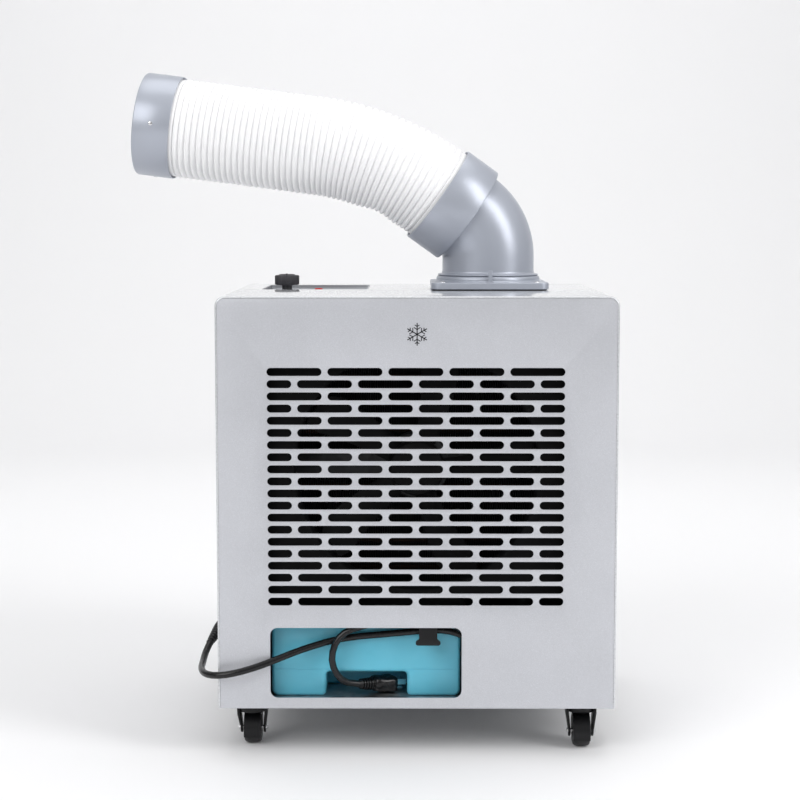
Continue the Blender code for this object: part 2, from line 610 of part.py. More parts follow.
def thermostat():
    """The body under the tray's floor, and the knob on its shaft."""
    under = TRAY_FLOOR - TRAY_WALL - GAP
    reach = Vector((THERMOSTAT_HALF_X, THERMOSTAT_HALF_Y, 0))
    middle = Vector((KNOB_X, KNOB_Y, under))
    body = box("thermostat_body", middle - reach - THERMOSTAT_HEIGHT * Z, middle + reach, BLACK_PLASTIC)
    bore_start = middle - (SHAFT_DEPTH + 2 * EASE) * Z
    cut(body, cylinder("hole", SHAFT_HOLE, bore_start, Z, THROUGH, BLACK_PLASTIC, 16))
    profile = [
        (0, under - SHAFT_DEPTH),
        (SHAFT_RADIUS, under - SHAFT_DEPTH),
        (SHAFT_RADIUS, TRAY_FLOOR + EASE),
        (KNOB_STEM, TRAY_FLOOR + EASE),
        (KNOB_STEM - EASE / 2, KNOB_BOTTOM),
        (KNOB_RADIUS - EASE / 2, KNOB_BOTTOM),
        (KNOB_RADIUS, KNOB_BOTTOM + 2 * EASE),
        (KNOB_RADIUS - EASE, KNOB_TOP - EASE),
        (KNOB_RADIUS - 2 * EASE, KNOB_TOP),
        (0, KNOB_TOP),
    ]
    knob = turned("thermostat_knob", profile, 20, BLACK_PLASTIC, (KNOB_X, KNOB_Y, 0))
    grip_reach = KNOB_RADIUS - EASE
    grip = box(
        "grip",
        (KNOB_X - grip_reach, KNOB_Y - GRIP_HALF_WIDTH, KNOB_BOTTOM + 4 * EASE),
        (KNOB_X + grip_reach, KNOB_Y + GRIP_HALF_WIDTH, GRIP_TOP),
        BLACK_PLASTIC,
    )
    pivot(shade(fuse(knob, grip)), (KNOB_X, KNOB_Y, KNOB_BOTTOM))


def power_switch():
    """A rocker in a frame. At rest its rear end is down, which is off."""
    frame = switch_block("switch_frame", SWITCH_FRAME, TRAY_FLOOR + GAP, TRAY_FLOOR + SWITCH_RIM)
    barrel = switch_block("barrel", SWITCH_BARREL, TRAY_FLOOR - SWITCH_DEPTH, TRAY_FLOOR + EASE)
    pocket = switch_block("pocket", SWITCH_POCKET, TRAY_FLOOR - POCKET_DEPTH, TRAY_FLOOR + THROUGH)
    cut(fuse(frame, barrel), pocket)
    ends = [(0.0068, -0.0015), (0.0075, 0.0050)]
    side = [(0, -0.0055)] + ends + [(0, 0.0036)] + [(-across, up) for across, up in ends[::-1]]
    rocker = plate("power_rocker", [side], ROCKER_WIDTH, RED_PLASTIC, X, -ROCKER_WIDTH / 2)
    rocker.data.transform(Matrix.Rotation(ROCKER_REST, 4, "X"))
    rocker.location = (SWITCH_X, SWITCH_Y, TRAY_FLOOR - ROCKER_AXIS_DEPTH)


# ---------------------------------------------------------------- outlet, elbow and hose


def outlet_flange():
    """A foam gasket on the top, and on it the square flange with a raised ring for the elbow."""
    hole = arc((PIPE_X, PIPE_Y), OUTLET_RADIUS, 0, 360, 32)[:-1]
    gasket = flange_outline(GASKET_INSET)
    plate("outlet_gasket", [gasket, hole], GASKET_TOP - TOP - GAP, FOAM, Z, TOP + GAP)
    low = GASKET_TOP + GAP
    flange = plate("outlet_flange", [flange_outline(0), hole], FLANGE_TOP - low, GREY_PLASTIC, Z, low)
    start = (PIPE_X, PIPE_Y, low)
    ring = pipe_ring("ring", RING_INNER, RING_OUTER, start, Z, RING_TOP - low, GREY_PLASTIC)
    shade(fuse(flange, ring))


def flange_outline(inset):
    half = FLANGE_SIDE / 2 - inset
    return rounded((PIPE_X - half, PIPE_Y - half), (PIPE_X + half, PIPE_Y + half), FLANGE_RADIUS)


def elbow_latch():
    """A sprung tongue that hooks over the elbow's foot and folds out to let it go."""
    inner = PIPE_Y - LATCH_REACH
    outer, low, hook = inner - LATCH_THICKNESS, FLANGE_TOP + GAP, LIP_TOP + GAP
    side = [
        (outer, low),
        (inner, low),
        (inner, hook),
        (inner + 3.5 * EASE, hook),
        (inner + 2 * EASE, LIP_TOP + 3.5 * EASE),
        (outer, LIP_TOP + 4.5 * EASE),
    ]
    latch = plate("elbow_latch", [side], LATCH_WIDTH, GREY_PLASTIC, X, PIPE_X - LATCH_WIDTH / 2)
    pivot(latch, (PIPE_X, (inner + outer) / 2, low))


def bend_point(angle):
    """The elbow's centre line, and the way it points, at an angle round its bend."""
    outward = Vector((math.cos(ELBOW_TURN), math.sin(ELBOW_TURN), 0))
    centre = Vector((PIPE_X, PIPE_Y, BEND_START)) - BEND_RADIUS * outward
    place = centre + BEND_RADIUS * (math.cos(angle) * outward + math.sin(angle) * Z)
    return place, math.cos(angle) * Z - math.sin(angle) * outward


def outlet_elbow():
    """The bent pipe, with a foot that turns inside the flange's ring and rests on it by a lip."""
    steps = 7
    route = [Vector((PIPE_X, PIPE_Y, LIP_TOP - 2 * EASE))]
    route += [bend_point(BEND_ANGLE * i / steps)[0] for i in range(steps + 1)]
    end, ahead = bend_point(BEND_ANGLE)
    route.append(end + SPIGOT_LENGTH * ahead)
    elbow = shell("outlet_elbow", route, PIPE_RADIUS, PIPE_WALL, GREY_PLASTIC, 8)
    foot = [
        (FOOT_INNER, FLANGE_TOP - FOOT_DEPTH),
        (FOOT_WAIST, FLANGE_TOP - FOOT_DEPTH),
        (FOOT_WAIST, RING_TOP + GAP),
        (FOOT_OUTER, RING_TOP + GAP),
        (FOOT_OUTER, LIP_TOP - EASE),
        (FOOT_OUTER - EASE, LIP_TOP),
        (OUTLET_RADIUS, LIP_TOP),
        (FOOT_INNER, LIP_TOP - EASE),
    ]
    ring = turned("foot", foot, 24, GREY_PLASTIC, (PIPE_X, PIPE_Y, 0))
    pivot(shade(fuse(elbow, ring)), (PIPE_X, PIPE_Y, LIP_TOP))


def hose_route():
    """The hose's centre line from the collar's mouth: an even bend, then straight to the nozzle."""
    back, ahead = bend_point(BEND_ANGLE)
    mouth = back + COLLAR_LENGTH * ahead
    level = math.cos(HOSE_RISE)
    last = Vector((-level * math.cos(HOSE_TURN), level * math.sin(HOSE_TURN), math.sin(HOSE_RISE)))
    steps = 9
    route = [mouth - HOSE_TUCK * ahead, mouth]
    for i in range(steps):
        heading = ahead.slerp(last, (i + 0.5) / steps)
        route.append(route[-1] + heading * HOSE_BEND_LENGTH / steps)
    start = route[-1]
    route += [start + last * HOSE_STRAIGHT_LENGTH * i / 2 for i in (1, 2)]
    end = route[-1]
    route.append(end + HOSE_TUCK * last)
    return route, start, end, last


def hose_collar():
    """The sleeve that joins the hose to the elbow: a lip at its back, open at its mouth."""
    back, ahead = bend_point(BEND_ANGLE)
    inner, lip_inner = COLLAR_RADIUS - COLLAR_WALL, PIPE_RADIUS + 2 * GAP
    profile = [
        (lip_inner, 0),
        (COLLAR_RADIUS - EASE, 0),
        (COLLAR_RADIUS, EASE),
        (COLLAR_RADIUS, COLLAR_LENGTH),
        (inner, COLLAR_LENGTH),
        (inner, COLLAR_LIP),
        (lip_inner, COLLAR_LIP),
    ]
    collar = turned("hose_collar", profile, 24, GREY_PLASTIC, back, ahead)
    pivot(collar, (PIPE_X, PIPE_Y, LIP_TOP))


def air_hose():
    route = hose_route()[0]
    hose = shell("air_hose", route, HOSE_RADIUS, HOSE_WALL, WHITE_HOSE, 10)
    pivot(hose, (PIPE_X, PIPE_Y, LIP_TOP))


def nozzle_collar():
    """The sleeve on the hose's free end, with a shoulder that the hose is pushed up to."""
    straight, end, last = hose_route()[1:]
    seat = HOSE_TUCK + EASE
    profile = [
        (HOSE_RADIUS + 2 * GAP, 0),
        (NOZZLE_RADIUS, 0),
        (NOZZLE_RADIUS, NOZZLE_LENGTH - EASE),
        (NOZZLE_RADIUS - EASE, NOZZLE_LENGTH),
        (NOZZLE_BORE + EASE, NOZZLE_LENGTH),
        (NOZZLE_BORE, NOZZLE_LENGTH - EASE),
        (NOZZLE_BORE, seat),
        (HOSE_RADIUS + 2 * GAP, seat),
    ]
    nozzle = turned("nozzle_collar", profile, 24, GREY_PLASTIC, end, last)
    pivot(nozzle, straight + last * NOZZLE_PIVOT)


# ---------------------------------------------------------------- casters


def caster_mount():
    """The plate that bolts under the pan, with the swivel's boss."""
    plate_low = PAN_FLOOR - PAN_SHEET - GAP - MOUNT_PLATE
    square = rounded((-MOUNT_HALF, -MOUNT_HALF), (MOUNT_HALF, MOUNT_HALF), NOTCH_CORNER, 2)
    mount = plate("mount", [square], MOUNT_PLATE, BLACK_PAINT, Z, plate_low)
    height = plate_low + EASE - BOSS_LOW
    return fuse(mount, cylinder("boss", BOSS_RADIUS, (0, 0, BOSS_LOW), Z, height, BLACK_PAINT))


def caster_fork():
    """A round crown with two arms, which trail back to the axle."""
    crown = cylinder("fork", CROWN_RADIUS, (0, 0, CROWN_LOW), Z, CROWN_HIGH - CROWN_LOW, BLACK_PLASTIC)
    inner = WHEEL_WIDTH / 2 + ARM_CLEARANCE
    side = [(-0.0110, ARM_TOP), (-0.0035, WHEEL_RADIUS - 0.002)]
    side += arc((TRAIL, WHEEL_RADIUS), ARM_TIP, 200, 330, 4)
    side += [(0.0110, WHEEL_RADIUS + 0.004), (0.0120, ARM_TOP)]
    arms = [
        plate("arm", [side], ARM_OUTER - inner, BLACK_PLASTIC, X, start) for start in (inner, -ARM_OUTER)
    ]
    start = (-2 * ARM_OUTER, TRAIL, WHEEL_RADIUS)
    holes = cylinder("hole", WHEEL_BORE, start, X, 4 * ARM_OUTER, BLACK_PLASTIC, 12)
    return shade(cut(fuse(crown, *arms), holes))


def caster_wheel():
    """The tyre and hub in one, made round the axle's own middle."""
    half, shoulder = WHEEL_WIDTH / 2, 0.0025
    profile = [
        (WHEEL_BORE, -half),
        (WHEEL_RADIUS - 2 * EASE, -half),
        (WHEEL_RADIUS, shoulder - half),
        (WHEEL_RADIUS, half - shoulder),
        (WHEEL_RADIUS - 2 * EASE, half),
        (WHEEL_BORE, half),
    ]
    return turned("wheel", profile, 20, DARK_TREAD, (0, 0, 0), X)


def casters():
    """Four swivel casters. One at the front trails forward, and the others trail back."""
    patterns = {
        "mount": caster_mount(),
        "fork": caster_fork(),
        "wheel": caster_wheel(),
        "axle": cylinder("axle", AXLE_RADIUS, (-AXLE_LENGTH / 2, 0, 0), X, AXLE_LENGTH, BRIGHT_STEEL, 12),
    }
    corners = {
        "front_left": (-1, -1, 0),
        "front_right": (1, -1, 180),
        "rear_left": (-1, 1, 0),
        "rear_right": (1, 1, 0),
    }
    for corner, (side, end, turn) in corners.items():
        swivel = bpy.data.objects.new(f"caster_{corner}_swivel", None)
        MODEL.objects.link(swivel)
        swivel.parent = ASSEMBLY
        swivel.location = (side * CASTER_X, end * CASTER_Y, 0)
        swivel.rotation_euler.z = math.radians(turn)
        for piece, pattern in patterns.items():
            made = copy_of(pattern, f"caster_{corner}_{piece}")
            made.parent = swivel
            if piece in ("wheel", "axle"):
                made.location = (0, TRAIL, WHEEL_RADIUS)
    for pattern in patterns.values():
        bpy.data.objects.remove(pattern, do_unlink=True)


# ---------------------------------------------------------------- cooling circuit


def coil_block(name, low, high):
    """A finned coil: the block of fins between two taller end plates."""
    block = box(name, low, high, FIN_ALUMINIUM)
    for side in (low[0], high[0]):
        end_low = (side - END_PLATE / 2, low[1] - END_MARGIN_Y, low[2] - END_MARGIN_Z)
        end_high = (side + END_PLATE / 2, high[1] + END_MARGIN_Y, high[2] + END_MARGIN_Z)
        block = fuse(block, box("end", end_low, end_high, FIN_ALUMINIUM))


def compressor():
    """A welded pot on a three-armed base plate, which stands on three rubber feet."""
    foot = COMPRESSOR_FOOT
    profile = [
        (0, foot),
        (0.036, foot),
        (0.046, foot + 0.006),
        (0.048, foot + 0.020),
        (0.048, foot + 0.118),
        (0.044, foot + 0.134),
        (0.030, foot + 0.145),
        (0, foot + 0.149),
    ]
    pot = turned("compressor", profile, 24, BLACK_PAINT, (COMPRESSOR_X, COMPRESSOR_Y, 0))
    corners = []
    for index, away in enumerate((330, 210, 90), 1):
        lug_x, lug_y = arc((COMPRESSOR_X, COMPRESSOR_Y), LUG_REACH, away, away, 1)[0]
        corners += arc((lug_x, lug_y), LUG_RADIUS, away + 60, away - 60, 3)
        compressor_foot(index, (lug_x, lug_y, 0))
    base = plate("base", [corners], LUG_THICKNESS, BLACK_PAINT, Z, foot)
    shade(fuse(pot, base))


def compressor_foot(index, at):
    waist = RUBBER_FOOT_RADIUS - 1.5 * EASE
    low, high = PAN_FLOOR + GAP, COMPRESSOR_FOOT - GAP
    profile = [
        (0, low),
        (RUBBER_FOOT_RADIUS, low),
        (waist, (low + high) / 2),
        (RUBBER_FOOT_RADIUS, high),
        (0, high),
    ]
    turned(f"compressor_foot_{index}", profile, 16, BLACK_RUBBER, at)


def pipe(name, corners, radius):
    """A bent copper pipe: straight runs with the corners rounded."""
    points = [Vector(corners[0])]
    for before, corner, after in zip(corners, corners[1:], corners[2:]):
        before, corner, after = Vector(before), Vector(corner), Vector(after)
        start = corner + PIPE_CORNER * (before - corner).normalized()
        end = corner + PIPE_CORNER * (after - corner).normalized()
        for i in range(4):
            t = i / 3
            points.append((1 - t) ** 2 * start + 2 * t * (1 - t) * corner + t**2 * end)
    points.append(Vector(corners[-1]))
    tube(name, points, radius, COPPER)


# Each pipe's corners, from one thing that it joins to the other
DISCHARGE_ROUTE = [
    (0.1480, 0.0300, 0.2150),
    (0.1480, 0.0300, 0.2350),
    (0.1830, 0.0300, 0.2350),
    (0.1830, -0.0710, 0.2350),
    (0.1830, -0.0710, 0.3900),
    (0.1513, -0.0710, 0.3900),
]
SUCTION_ROUTE = [
    (0.1413, 0.1210, 0.2500),
    (0.1700, 0.1210, 0.2500),
    (0.1700, 0.1210, 0.1100),
    (0.1280, 0.1210, 0.1100),
    (0.1280, 0.0783, 0.1100),
]
LIQUID_ROUTE = [
    (0.1513, -0.0710, 0.1800),
    (0.1900, -0.0710, 0.1800),
    (0.1900, 0.1280, 0.1800),
    (0.1900, 0.1280, 0.2100),
    (0.1413, 0.1280, 0.2100),
]


def cooling_circuit():
    coil_block("condenser_coil", CONDENSER_LOW, CONDENSER_HIGH)
    coil_block("evaporator_coil", EVAPORATOR_LOW, EVAPORATOR_HIGH)
    compressor()
    pipe("discharge_pipe", DISCHARGE_ROUTE, 0.0030)
    pipe("suction_pipe", SUCTION_ROUTE, 0.0045)
    pipe("liquid_pipe", LIQUID_ROUTE, 0.0025)


# ---------------------------------------------------------------- fans


def fan_shroud():
    """A flat square plate with a round duct behind it, close round the fan's blades."""
    low = (-SHROUD_HALF_WIDTH, FAN_HEIGHT - SHROUD_HALF_HEIGHT)
    square = rounded(low, (SHROUD_HALF_WIDTH, FAN_HEIGHT + SHROUD_HALF_HEIGHT), 0.006, 2)
    hole = arc((0, FAN_HEIGHT), SHROUD_RADIUS, 0, 360, 40)[:-1]
    shroud = plate("fan_shroud", [square, hole], SHROUD_SHEET, BLACK_PLASTIC, Y, SHROUD_FACE)
    start, outer = (0, SHROUD_FACE, FAN_HEIGHT), SHROUD_RADIUS + SHROUD_SHEET
    duct = pipe_ring("duct", SHROUD_RADIUS, outer, start, Y, SHROUD_LENGTH, BLACK_PLASTIC, 40)
    shade(fuse(shroud, duct))


def condenser_fan():
    """An axial fan behind the front grille: a hub on a short shaft, with flat blades set at a pitch."""
    profile = [
        (0, -0.0130),
        (FAN_HUB - 6 * EASE, -0.0130),
        (FAN_HUB, -0.0090),
        (FAN_HUB, 0.0080),
        (FAN_SHAFT, 0.0080),
        (FAN_SHAFT, 0.0260),
        (0, 0.0260),
    ]
    fan = turned("condenser_fan", profile, 24, BLACK_PLASTIC, (0, 0, 0), Y)
    half_chord, half_thick = BLADE_CHORD / 2, BLADE_THICKNESS / 2
    for index in range(FAN_BLADES):
        root = (FAN_HUB - 4 * EASE, -half_thick, -half_chord)
        blade = box("blade", root, (FAN_TIP, half_thick, half_chord), BLACK_PLASTIC)
        blade.data.transform(Matrix.Rotation(FAN_PITCH, 4, "X"))
        blade.data.transform(Matrix.Rotation(index * math.tau / FAN_BLADES, 4, "Y"))
        fan = fuse(fan, blade)
    fan.location = (0, FAN_Y, FAN_HEIGHT)


def fan_motor():
    """The fan's motor, on a bar across the shroud."""
    start = (0, FAN_MOTOR_Y, FAN_HEIGHT)
    motor = pipe_ring("fan_motor", MOTOR_BORE, FAN_MOTOR_RADIUS, start, Y, FAN_MOTOR_LENGTH, ZINC_STEEL, 24)
    bar_low = (CONDENSER_LOW[0], BAR_Y, FAN_HEIGHT - BAR_HALF_HEIGHT)
    bar_high = (CONDENSER_HIGH[0], BAR_Y + BAR_THICKNESS, FAN_HEIGHT + BAR_HALF_HEIGHT)
    fuse(motor, box("bar", bar_low, bar_high, ZINC_STEEL))


def blower_outline(inset, top):
    """The blower's housing from the front: round below, and straight up to the outlet above."""
    radius = BLOWER_RADIUS - inset
    left, right = PIPE_X - THROAT_HALF + inset, PIPE_X + THROAT_HALF - inset
    throat = [(BLOWER_X - radius, BLOWER_Z + 0.050), (left, BLOWER_Z + 0.100), (left, top)]
    return [(right, top)] + arc((BLOWER_X, BLOWER_Z), radius, 0, -180, 10) + throat


def blower_housing():
    """A casing that draws through the rear coil and opens up into the outlet."""
    outer = blower_outline(0, TOP - SHEET - GAP)
    inner = blower_outline(BLOWER_WALL, TOP + THROUGH)
    body = plate("blower_housing", [outer], BLOWER_DEPTH, BLACK_PLASTIC, Y, BLOWER_FRONT)
    room = BLOWER_DEPTH - 2 * BLOWER_WALL
    hollow = plate("hollow", [inner], room, BLACK_PLASTIC, Y, BLOWER_FRONT + BLOWER_WALL)
    back = (BLOWER_X, BLOWER_FRONT + BLOWER_DEPTH - THROUGH / 2, BLOWER_Z)
    inlet = cylinder("inlet", INLET_RADIUS, back, Y, THROUGH, BLACK_PLASTIC, 24)
    start = (BLOWER_X, BLOWER_FRONT - THROUGH / 2, BLOWER_Z)
    bore = cylinder("bore", 1.5 * FAN_SHAFT, start, Y, THROUGH, BLACK_PLASTIC, 12)
    shade(cut(body, hollow, inlet, bore))


def blower_wheel():
    """A drum of upright vanes between a solid disc and an open band."""
    reach = BLOWER_DEPTH - 2 * BLOWER_WALL - 0.006
    disc = SHROUD_SHEET
    profile = [
        (0, -0.020),
        (FAN_SHAFT, -0.020),
        (FAN_SHAFT, 0),
        (BLOWER_RIM, 0),
        (BLOWER_RIM, disc),
        (0.0150, disc),
        (0.0120, 0.0200),
        (0, 0.0200),
    ]
    wheel = turned("blower_wheel", profile, 24, BLACK_PLASTIC, (0, 0, 0), Y)
    for index in range(BLOWER_VANES):
        vane_low = (BLOWER_BAND + EASE, EASE, -EASE)
        vane = box("vane", vane_low, (BLOWER_RIM - EASE / 2, reach - EASE / 2, 0.6 * EASE), BLACK_PLASTIC)
        vane.data.transform(Matrix.Rotation(index * math.tau / BLOWER_VANES, 4, "Y"))
        wheel = fuse(wheel, vane)
    band_start = (0, reach - 2 * EASE, 0)
    band = pipe_ring("band", BLOWER_BAND, BLOWER_RIM, band_start, Y, 2 * EASE, BLACK_PLASTIC, 24)
    wheel = fuse(wheel, band)
    wheel.location = (BLOWER_X, BLOWER_FRONT + BLOWER_WALL + 2 * EASE, BLOWER_Z)


def blower_motor():
    start = (BLOWER_X, BLOWER_FRONT - GAP - BLOWER_MOTOR_LENGTH, BLOWER_Z)
    radius, length = BLOWER_MOTOR_RADIUS, BLOWER_MOTOR_LENGTH
    pipe_ring("blower_motor", MOTOR_BORE, radius, start, Y, length, ZINC_STEEL, 24)


def electrics_box():
    box("electrics_box", ELECTRICS_LOW, ELECTRICS_HIGH, GREY_PLASTIC)


# ---------------------------------------------------------------- mains lead


def boot_start():
    return Vector(GLAND) - (NUT_LENGTH + 0.8 * EASE) * X


def cord_gland():
    """A clamping nut on the left side with a tapered boot that leads the cable forward and down."""
    outside = Vector(GLAND) - GAP * X
    nut = cylinder("cord_gland", NUT_RADIUS, outside, -X, NUT_LENGTH, BLACK_RUBBER, 6)
    profile = [
        (0, -EASE),
        (0.0062, -EASE),
        (0.0062, 4 * EASE),
        (0.0044, BOOT_LENGTH - EASE),
        (LEAD_RADIUS, BOOT_LENGTH),
        (0, BOOT_LENGTH),
    ]
    boot = turned("boot", profile, 12, BLACK_RUBBER, boot_start(), BOOT_AXIS)
    sleeve = cylinder("sleeve", GLAND_SLEEVE, outside - EASE * X, X, 12 * EASE, BLACK_RUBBER, 12)
    fuse(nut, boot, sleeve)


def power_lead():
    """The lead in three solids: to the stored coil, the coil itself, and from the coil to the plug."""
    spacing = 4 * LEAD_RADIUS
    coil_x, coil_y = COIL_CENTRE
    floor, height = PAN_FLOOR + GAP, 2 * LEAD_RADIUS * COIL_LAYERS
    over = floor + height + LEAD_RADIUS + 2 * GAP

    start = boot_start() + (BOOT_LENGTH + 2 * GAP) * BOOT_AXIS
    into = (coil_x - COIL_RADIUS - 2 * EASE, coil_y, over)
    tube("lead_front", smooth_route([start] + LEAD_FRONT + [into], spacing), LEAD_RADIUS, BLACK_RUBBER)

    inner, outer = COIL_RADIUS - 2 * LEAD_RADIUS, COIL_RADIUS + 2 * LEAD_RADIUS
    pipe_ring("lead_coil", inner, outer, (coil_x, coil_y, floor), Z, height, BLACK_RUBBER, 28)

    out = (coil_x, coil_y - COIL_RADIUS - EASE, over)
    end = PLUG_START - 2 * GAP * PLUG_AXIS
    tube("lead_return", smooth_route([out] + LEAD_RETURN + [end], spacing), LEAD_RADIUS, BLACK_RUBBER)


def plug():
    """A moulded plug with two flat blades and a round pin, and a ribbed strain relief."""
    blade_start = PLUG_RELIEF + PLUG_BODY - 3 * EASE
    blade_end = PLUG_RELIEF + PLUG_BODY + PLUG_BLADE
    profile = [(0, 0), (0.0042, 0)]
    for rib in range(4):
        at = 0.0010 + rib * 0.0034
        radius = 0.0052 + rib * 0.0004
        profile += [(radius, at), (radius, at + 0.0016), (radius - 0.0012, at + 0.0018)]
    profile += [(0.0085, PLUG_RELIEF), (0.0085, PLUG_RELIEF + 3 * EASE), (0, PLUG_RELIEF + 3 * EASE)]
    sleeve = turned("plug", profile, 12, BLACK_RUBBER)
    half = rounded((-0.0115, -0.0080), (0.0115, 0.0080), 0.005, 2)
    head = plate("head", [half], PLUG_BODY - 2 * EASE, BLACK_RUBBER, Z, PLUG_RELIEF + EASE)
    blades = [
        box("blade", (x - 0.0008, -0.0005, blade_start), (x + 0.0008, 0.0055, blade_end), BRIGHT_STEEL)
        for x in (-0.0064, 0.0064)
    ]
    pin = cylinder("pin", 0.0023, (0, -0.0045, blade_start), Z, PLUG_BLADE + 3 * EASE, BRIGHT_STEEL, 10)
    made = fuse(sleeve, head, *blades, pin)
    across = Z.cross(PLUG_AXIS).normalized()
    turn = Matrix((across, PLUG_AXIS.cross(across), PLUG_AXIS)).transposed().to_4x4()
    made.data.transform(Matrix.Translation(PLUG_START) @ turn)
    shade(made)


base_pan()
casing()
front_panel()
rear_panel()
bay_cover()
partition()
water_tank()
tank_stop()
drain_pan()
drain_tube()
control_tray()
thermostat()
power_switch()
outlet_flange()
elbow_latch()
outlet_elbow()
hose_collar()
air_hose()
nozzle_collar()
casters()
cooling_circuit()
fan_shroud()
condenser_fan()
fan_motor()
blower_housing()
blower_wheel()
blower_motor()
electrics_box()
cord_gland()
power_lead()
plug()
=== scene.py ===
"""The looks of the portable air conditioner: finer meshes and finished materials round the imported
model, with the camera, the floor and the lights.

Metres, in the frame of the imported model. Pieces are built in the cabinet's own coordinates, where x = 0
is the middle of the cabinet, and show() moves them to their place.
"""

import json
import math

import bmesh
import bpy
from mathutils import Matrix, Vector


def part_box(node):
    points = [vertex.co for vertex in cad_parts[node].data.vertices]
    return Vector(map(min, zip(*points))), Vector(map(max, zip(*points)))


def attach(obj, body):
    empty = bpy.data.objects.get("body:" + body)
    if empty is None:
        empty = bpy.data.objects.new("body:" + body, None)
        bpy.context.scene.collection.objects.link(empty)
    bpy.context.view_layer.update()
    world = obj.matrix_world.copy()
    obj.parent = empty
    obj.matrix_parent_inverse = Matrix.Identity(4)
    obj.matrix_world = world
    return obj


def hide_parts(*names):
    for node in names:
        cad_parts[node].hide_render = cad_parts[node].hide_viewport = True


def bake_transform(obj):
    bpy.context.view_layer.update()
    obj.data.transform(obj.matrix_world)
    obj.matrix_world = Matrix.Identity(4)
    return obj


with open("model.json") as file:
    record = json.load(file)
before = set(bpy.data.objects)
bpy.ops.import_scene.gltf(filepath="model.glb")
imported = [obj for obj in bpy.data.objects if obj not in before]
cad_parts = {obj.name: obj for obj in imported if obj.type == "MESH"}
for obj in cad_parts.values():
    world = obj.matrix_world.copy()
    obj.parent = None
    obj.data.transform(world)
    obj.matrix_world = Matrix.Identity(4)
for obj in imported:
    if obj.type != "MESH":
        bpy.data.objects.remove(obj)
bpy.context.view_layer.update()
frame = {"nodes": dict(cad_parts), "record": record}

CASING_LOW, CASING_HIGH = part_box("casing")
CABINET = Vector(((CASING_LOW.x + CASING_HIGH.x) / 2, 0, 0))
X, Y, Z = Vector((1, 0, 0)), Vector((0, 1, 0)), Vector((0, 0, 1))


def node_box(name):
    """A CAD node's lowest and highest corner in the cabinet's coordinates."""
    low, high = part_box(name)
    return low - CABINET, high - CABINET


# Camera: lens in mm, place from the cabinet's middle, tilt and turn in degrees
LENS, CAMERA_PLACE = 81.72, Vector((-0.010, -1.959, 0.5417))
CAMERA_TILT, CAMERA_TURN = 5.754, 0.2209

# Cabinet
HALF_WIDTH = (CASING_HIGH.x - CASING_LOW.x) / 2
FRONT, BACK = CASING_LOW.y, CASING_HIGH.y
BOTTOM, TOP = CASING_LOW.z, CASING_HIGH.z
SHEET, GAP = 0.0012, 0.0003
FOLD_RADIUS, EDGE_BEND, RIM = 0.010, 0.0018, 0.0021
PANEL_INSET, PUNCHED_EDGE = 0.00225, 0.00025
SLOT_HEIGHT, LONG_SLOT, SHORT_SLOT = 0.008, 0.0545, 0.0245
SLOT_PITCH, ROW_PITCH, ROWS, FIELD_TOP = 0.0603, 0.01215, 20, 0.3892
FIELD_CENTRE = -0.0012
WINDOW_LEFT, WINDOW_RIGHT, WINDOW_LOW, WINDOW_HIGH = -0.1472, 0.0450, 0.0600, 0.1315
WINDOW_RADIUS = 0.0075

# Tank
TANK_LOW, TANK_HIGH = node_box("water_tank")
NOTCH_LEFT, NOTCH_RIGHT, NOTCH_TOP, NOTCH_DEPTH = -0.0922, -0.0098, 0.0814, 0.048
TANK_SWELL = 0.0015
TANK_MOUTH, MOUTH_RADIUS = Vector((-0.0500, 0.0800, TANK_HIGH.z)), 0.020

# Controls
TRAY_LOW, TRAY_HIGH, TRAY_CORNER = (-0.1670, 0.0000), (-0.0520, 0.1300), 0.003
TRAY_FLOOR = TOP - 0.0055
KNOB = Vector((-0.1435, 0.0650, 0.4666))
SWITCH = Vector((-0.1080, 0.0650, TRAY_FLOOR - 0.0010))

# Outlet, elbow and hose
PIPE = Vector((0.0785, 0.0320, 0))
PIPE_RADIUS, PIPE_WALL = 0.0498, 0.0020
OUTLET_RADIUS, FLANGE_HALF, FLANGE_CORNER = 0.0500, 0.0625, 0.010
FLANGE_TOP, LIP_TOP = 0.4722, 0.4806
BEND_START, BEND_RADIUS, BEND_ANGLE = 0.4990, 0.0545, math.radians(54.5)
ELBOW_TURN, SPIGOT_LENGTH = math.radians(6), 0.018
COLLAR_LENGTH, COLLAR_RADIUS, COLLAR_WALL, COLLAR_LIP = 0.0405, 0.0565, 0.0020, 0.003
NOZZLE_LENGTH, NOZZLE_RADIUS, NOZZLE_BORE = 0.040, 0.0552, 0.0500
HOSE_RADIUS, RIB_DEPTH, HOSE_WALL = 0.0530, 0.0028, 0.0008
HOSE_BEND_LENGTH, HOSE_STRAIGHT_LENGTH, HOSE_TUCK = 0.1416, 0.1526, 0.014
HOSE_RISE, HOSE_TURN = math.radians(7.4), math.radians(4.7)
RIB_PITCH, HOSE_PIVOT = 0.0065, 0.010

# Casters and fan
CASTER_X, CASTER_Y, WHEEL_RADIUS, TRAIL = 0.1690, 0.1255, 0.016, 0.006
CASTERS = {
    "front_left": (-1, -1, 0),
    "front_right": (1, -1, 180),
    "rear_left": (-1, 1, 0),
    "rear_right": (1, 1, 0),
}
FAN = Vector((0, -0.1390, 0.2900))
SHROUD_FACE = -0.1530

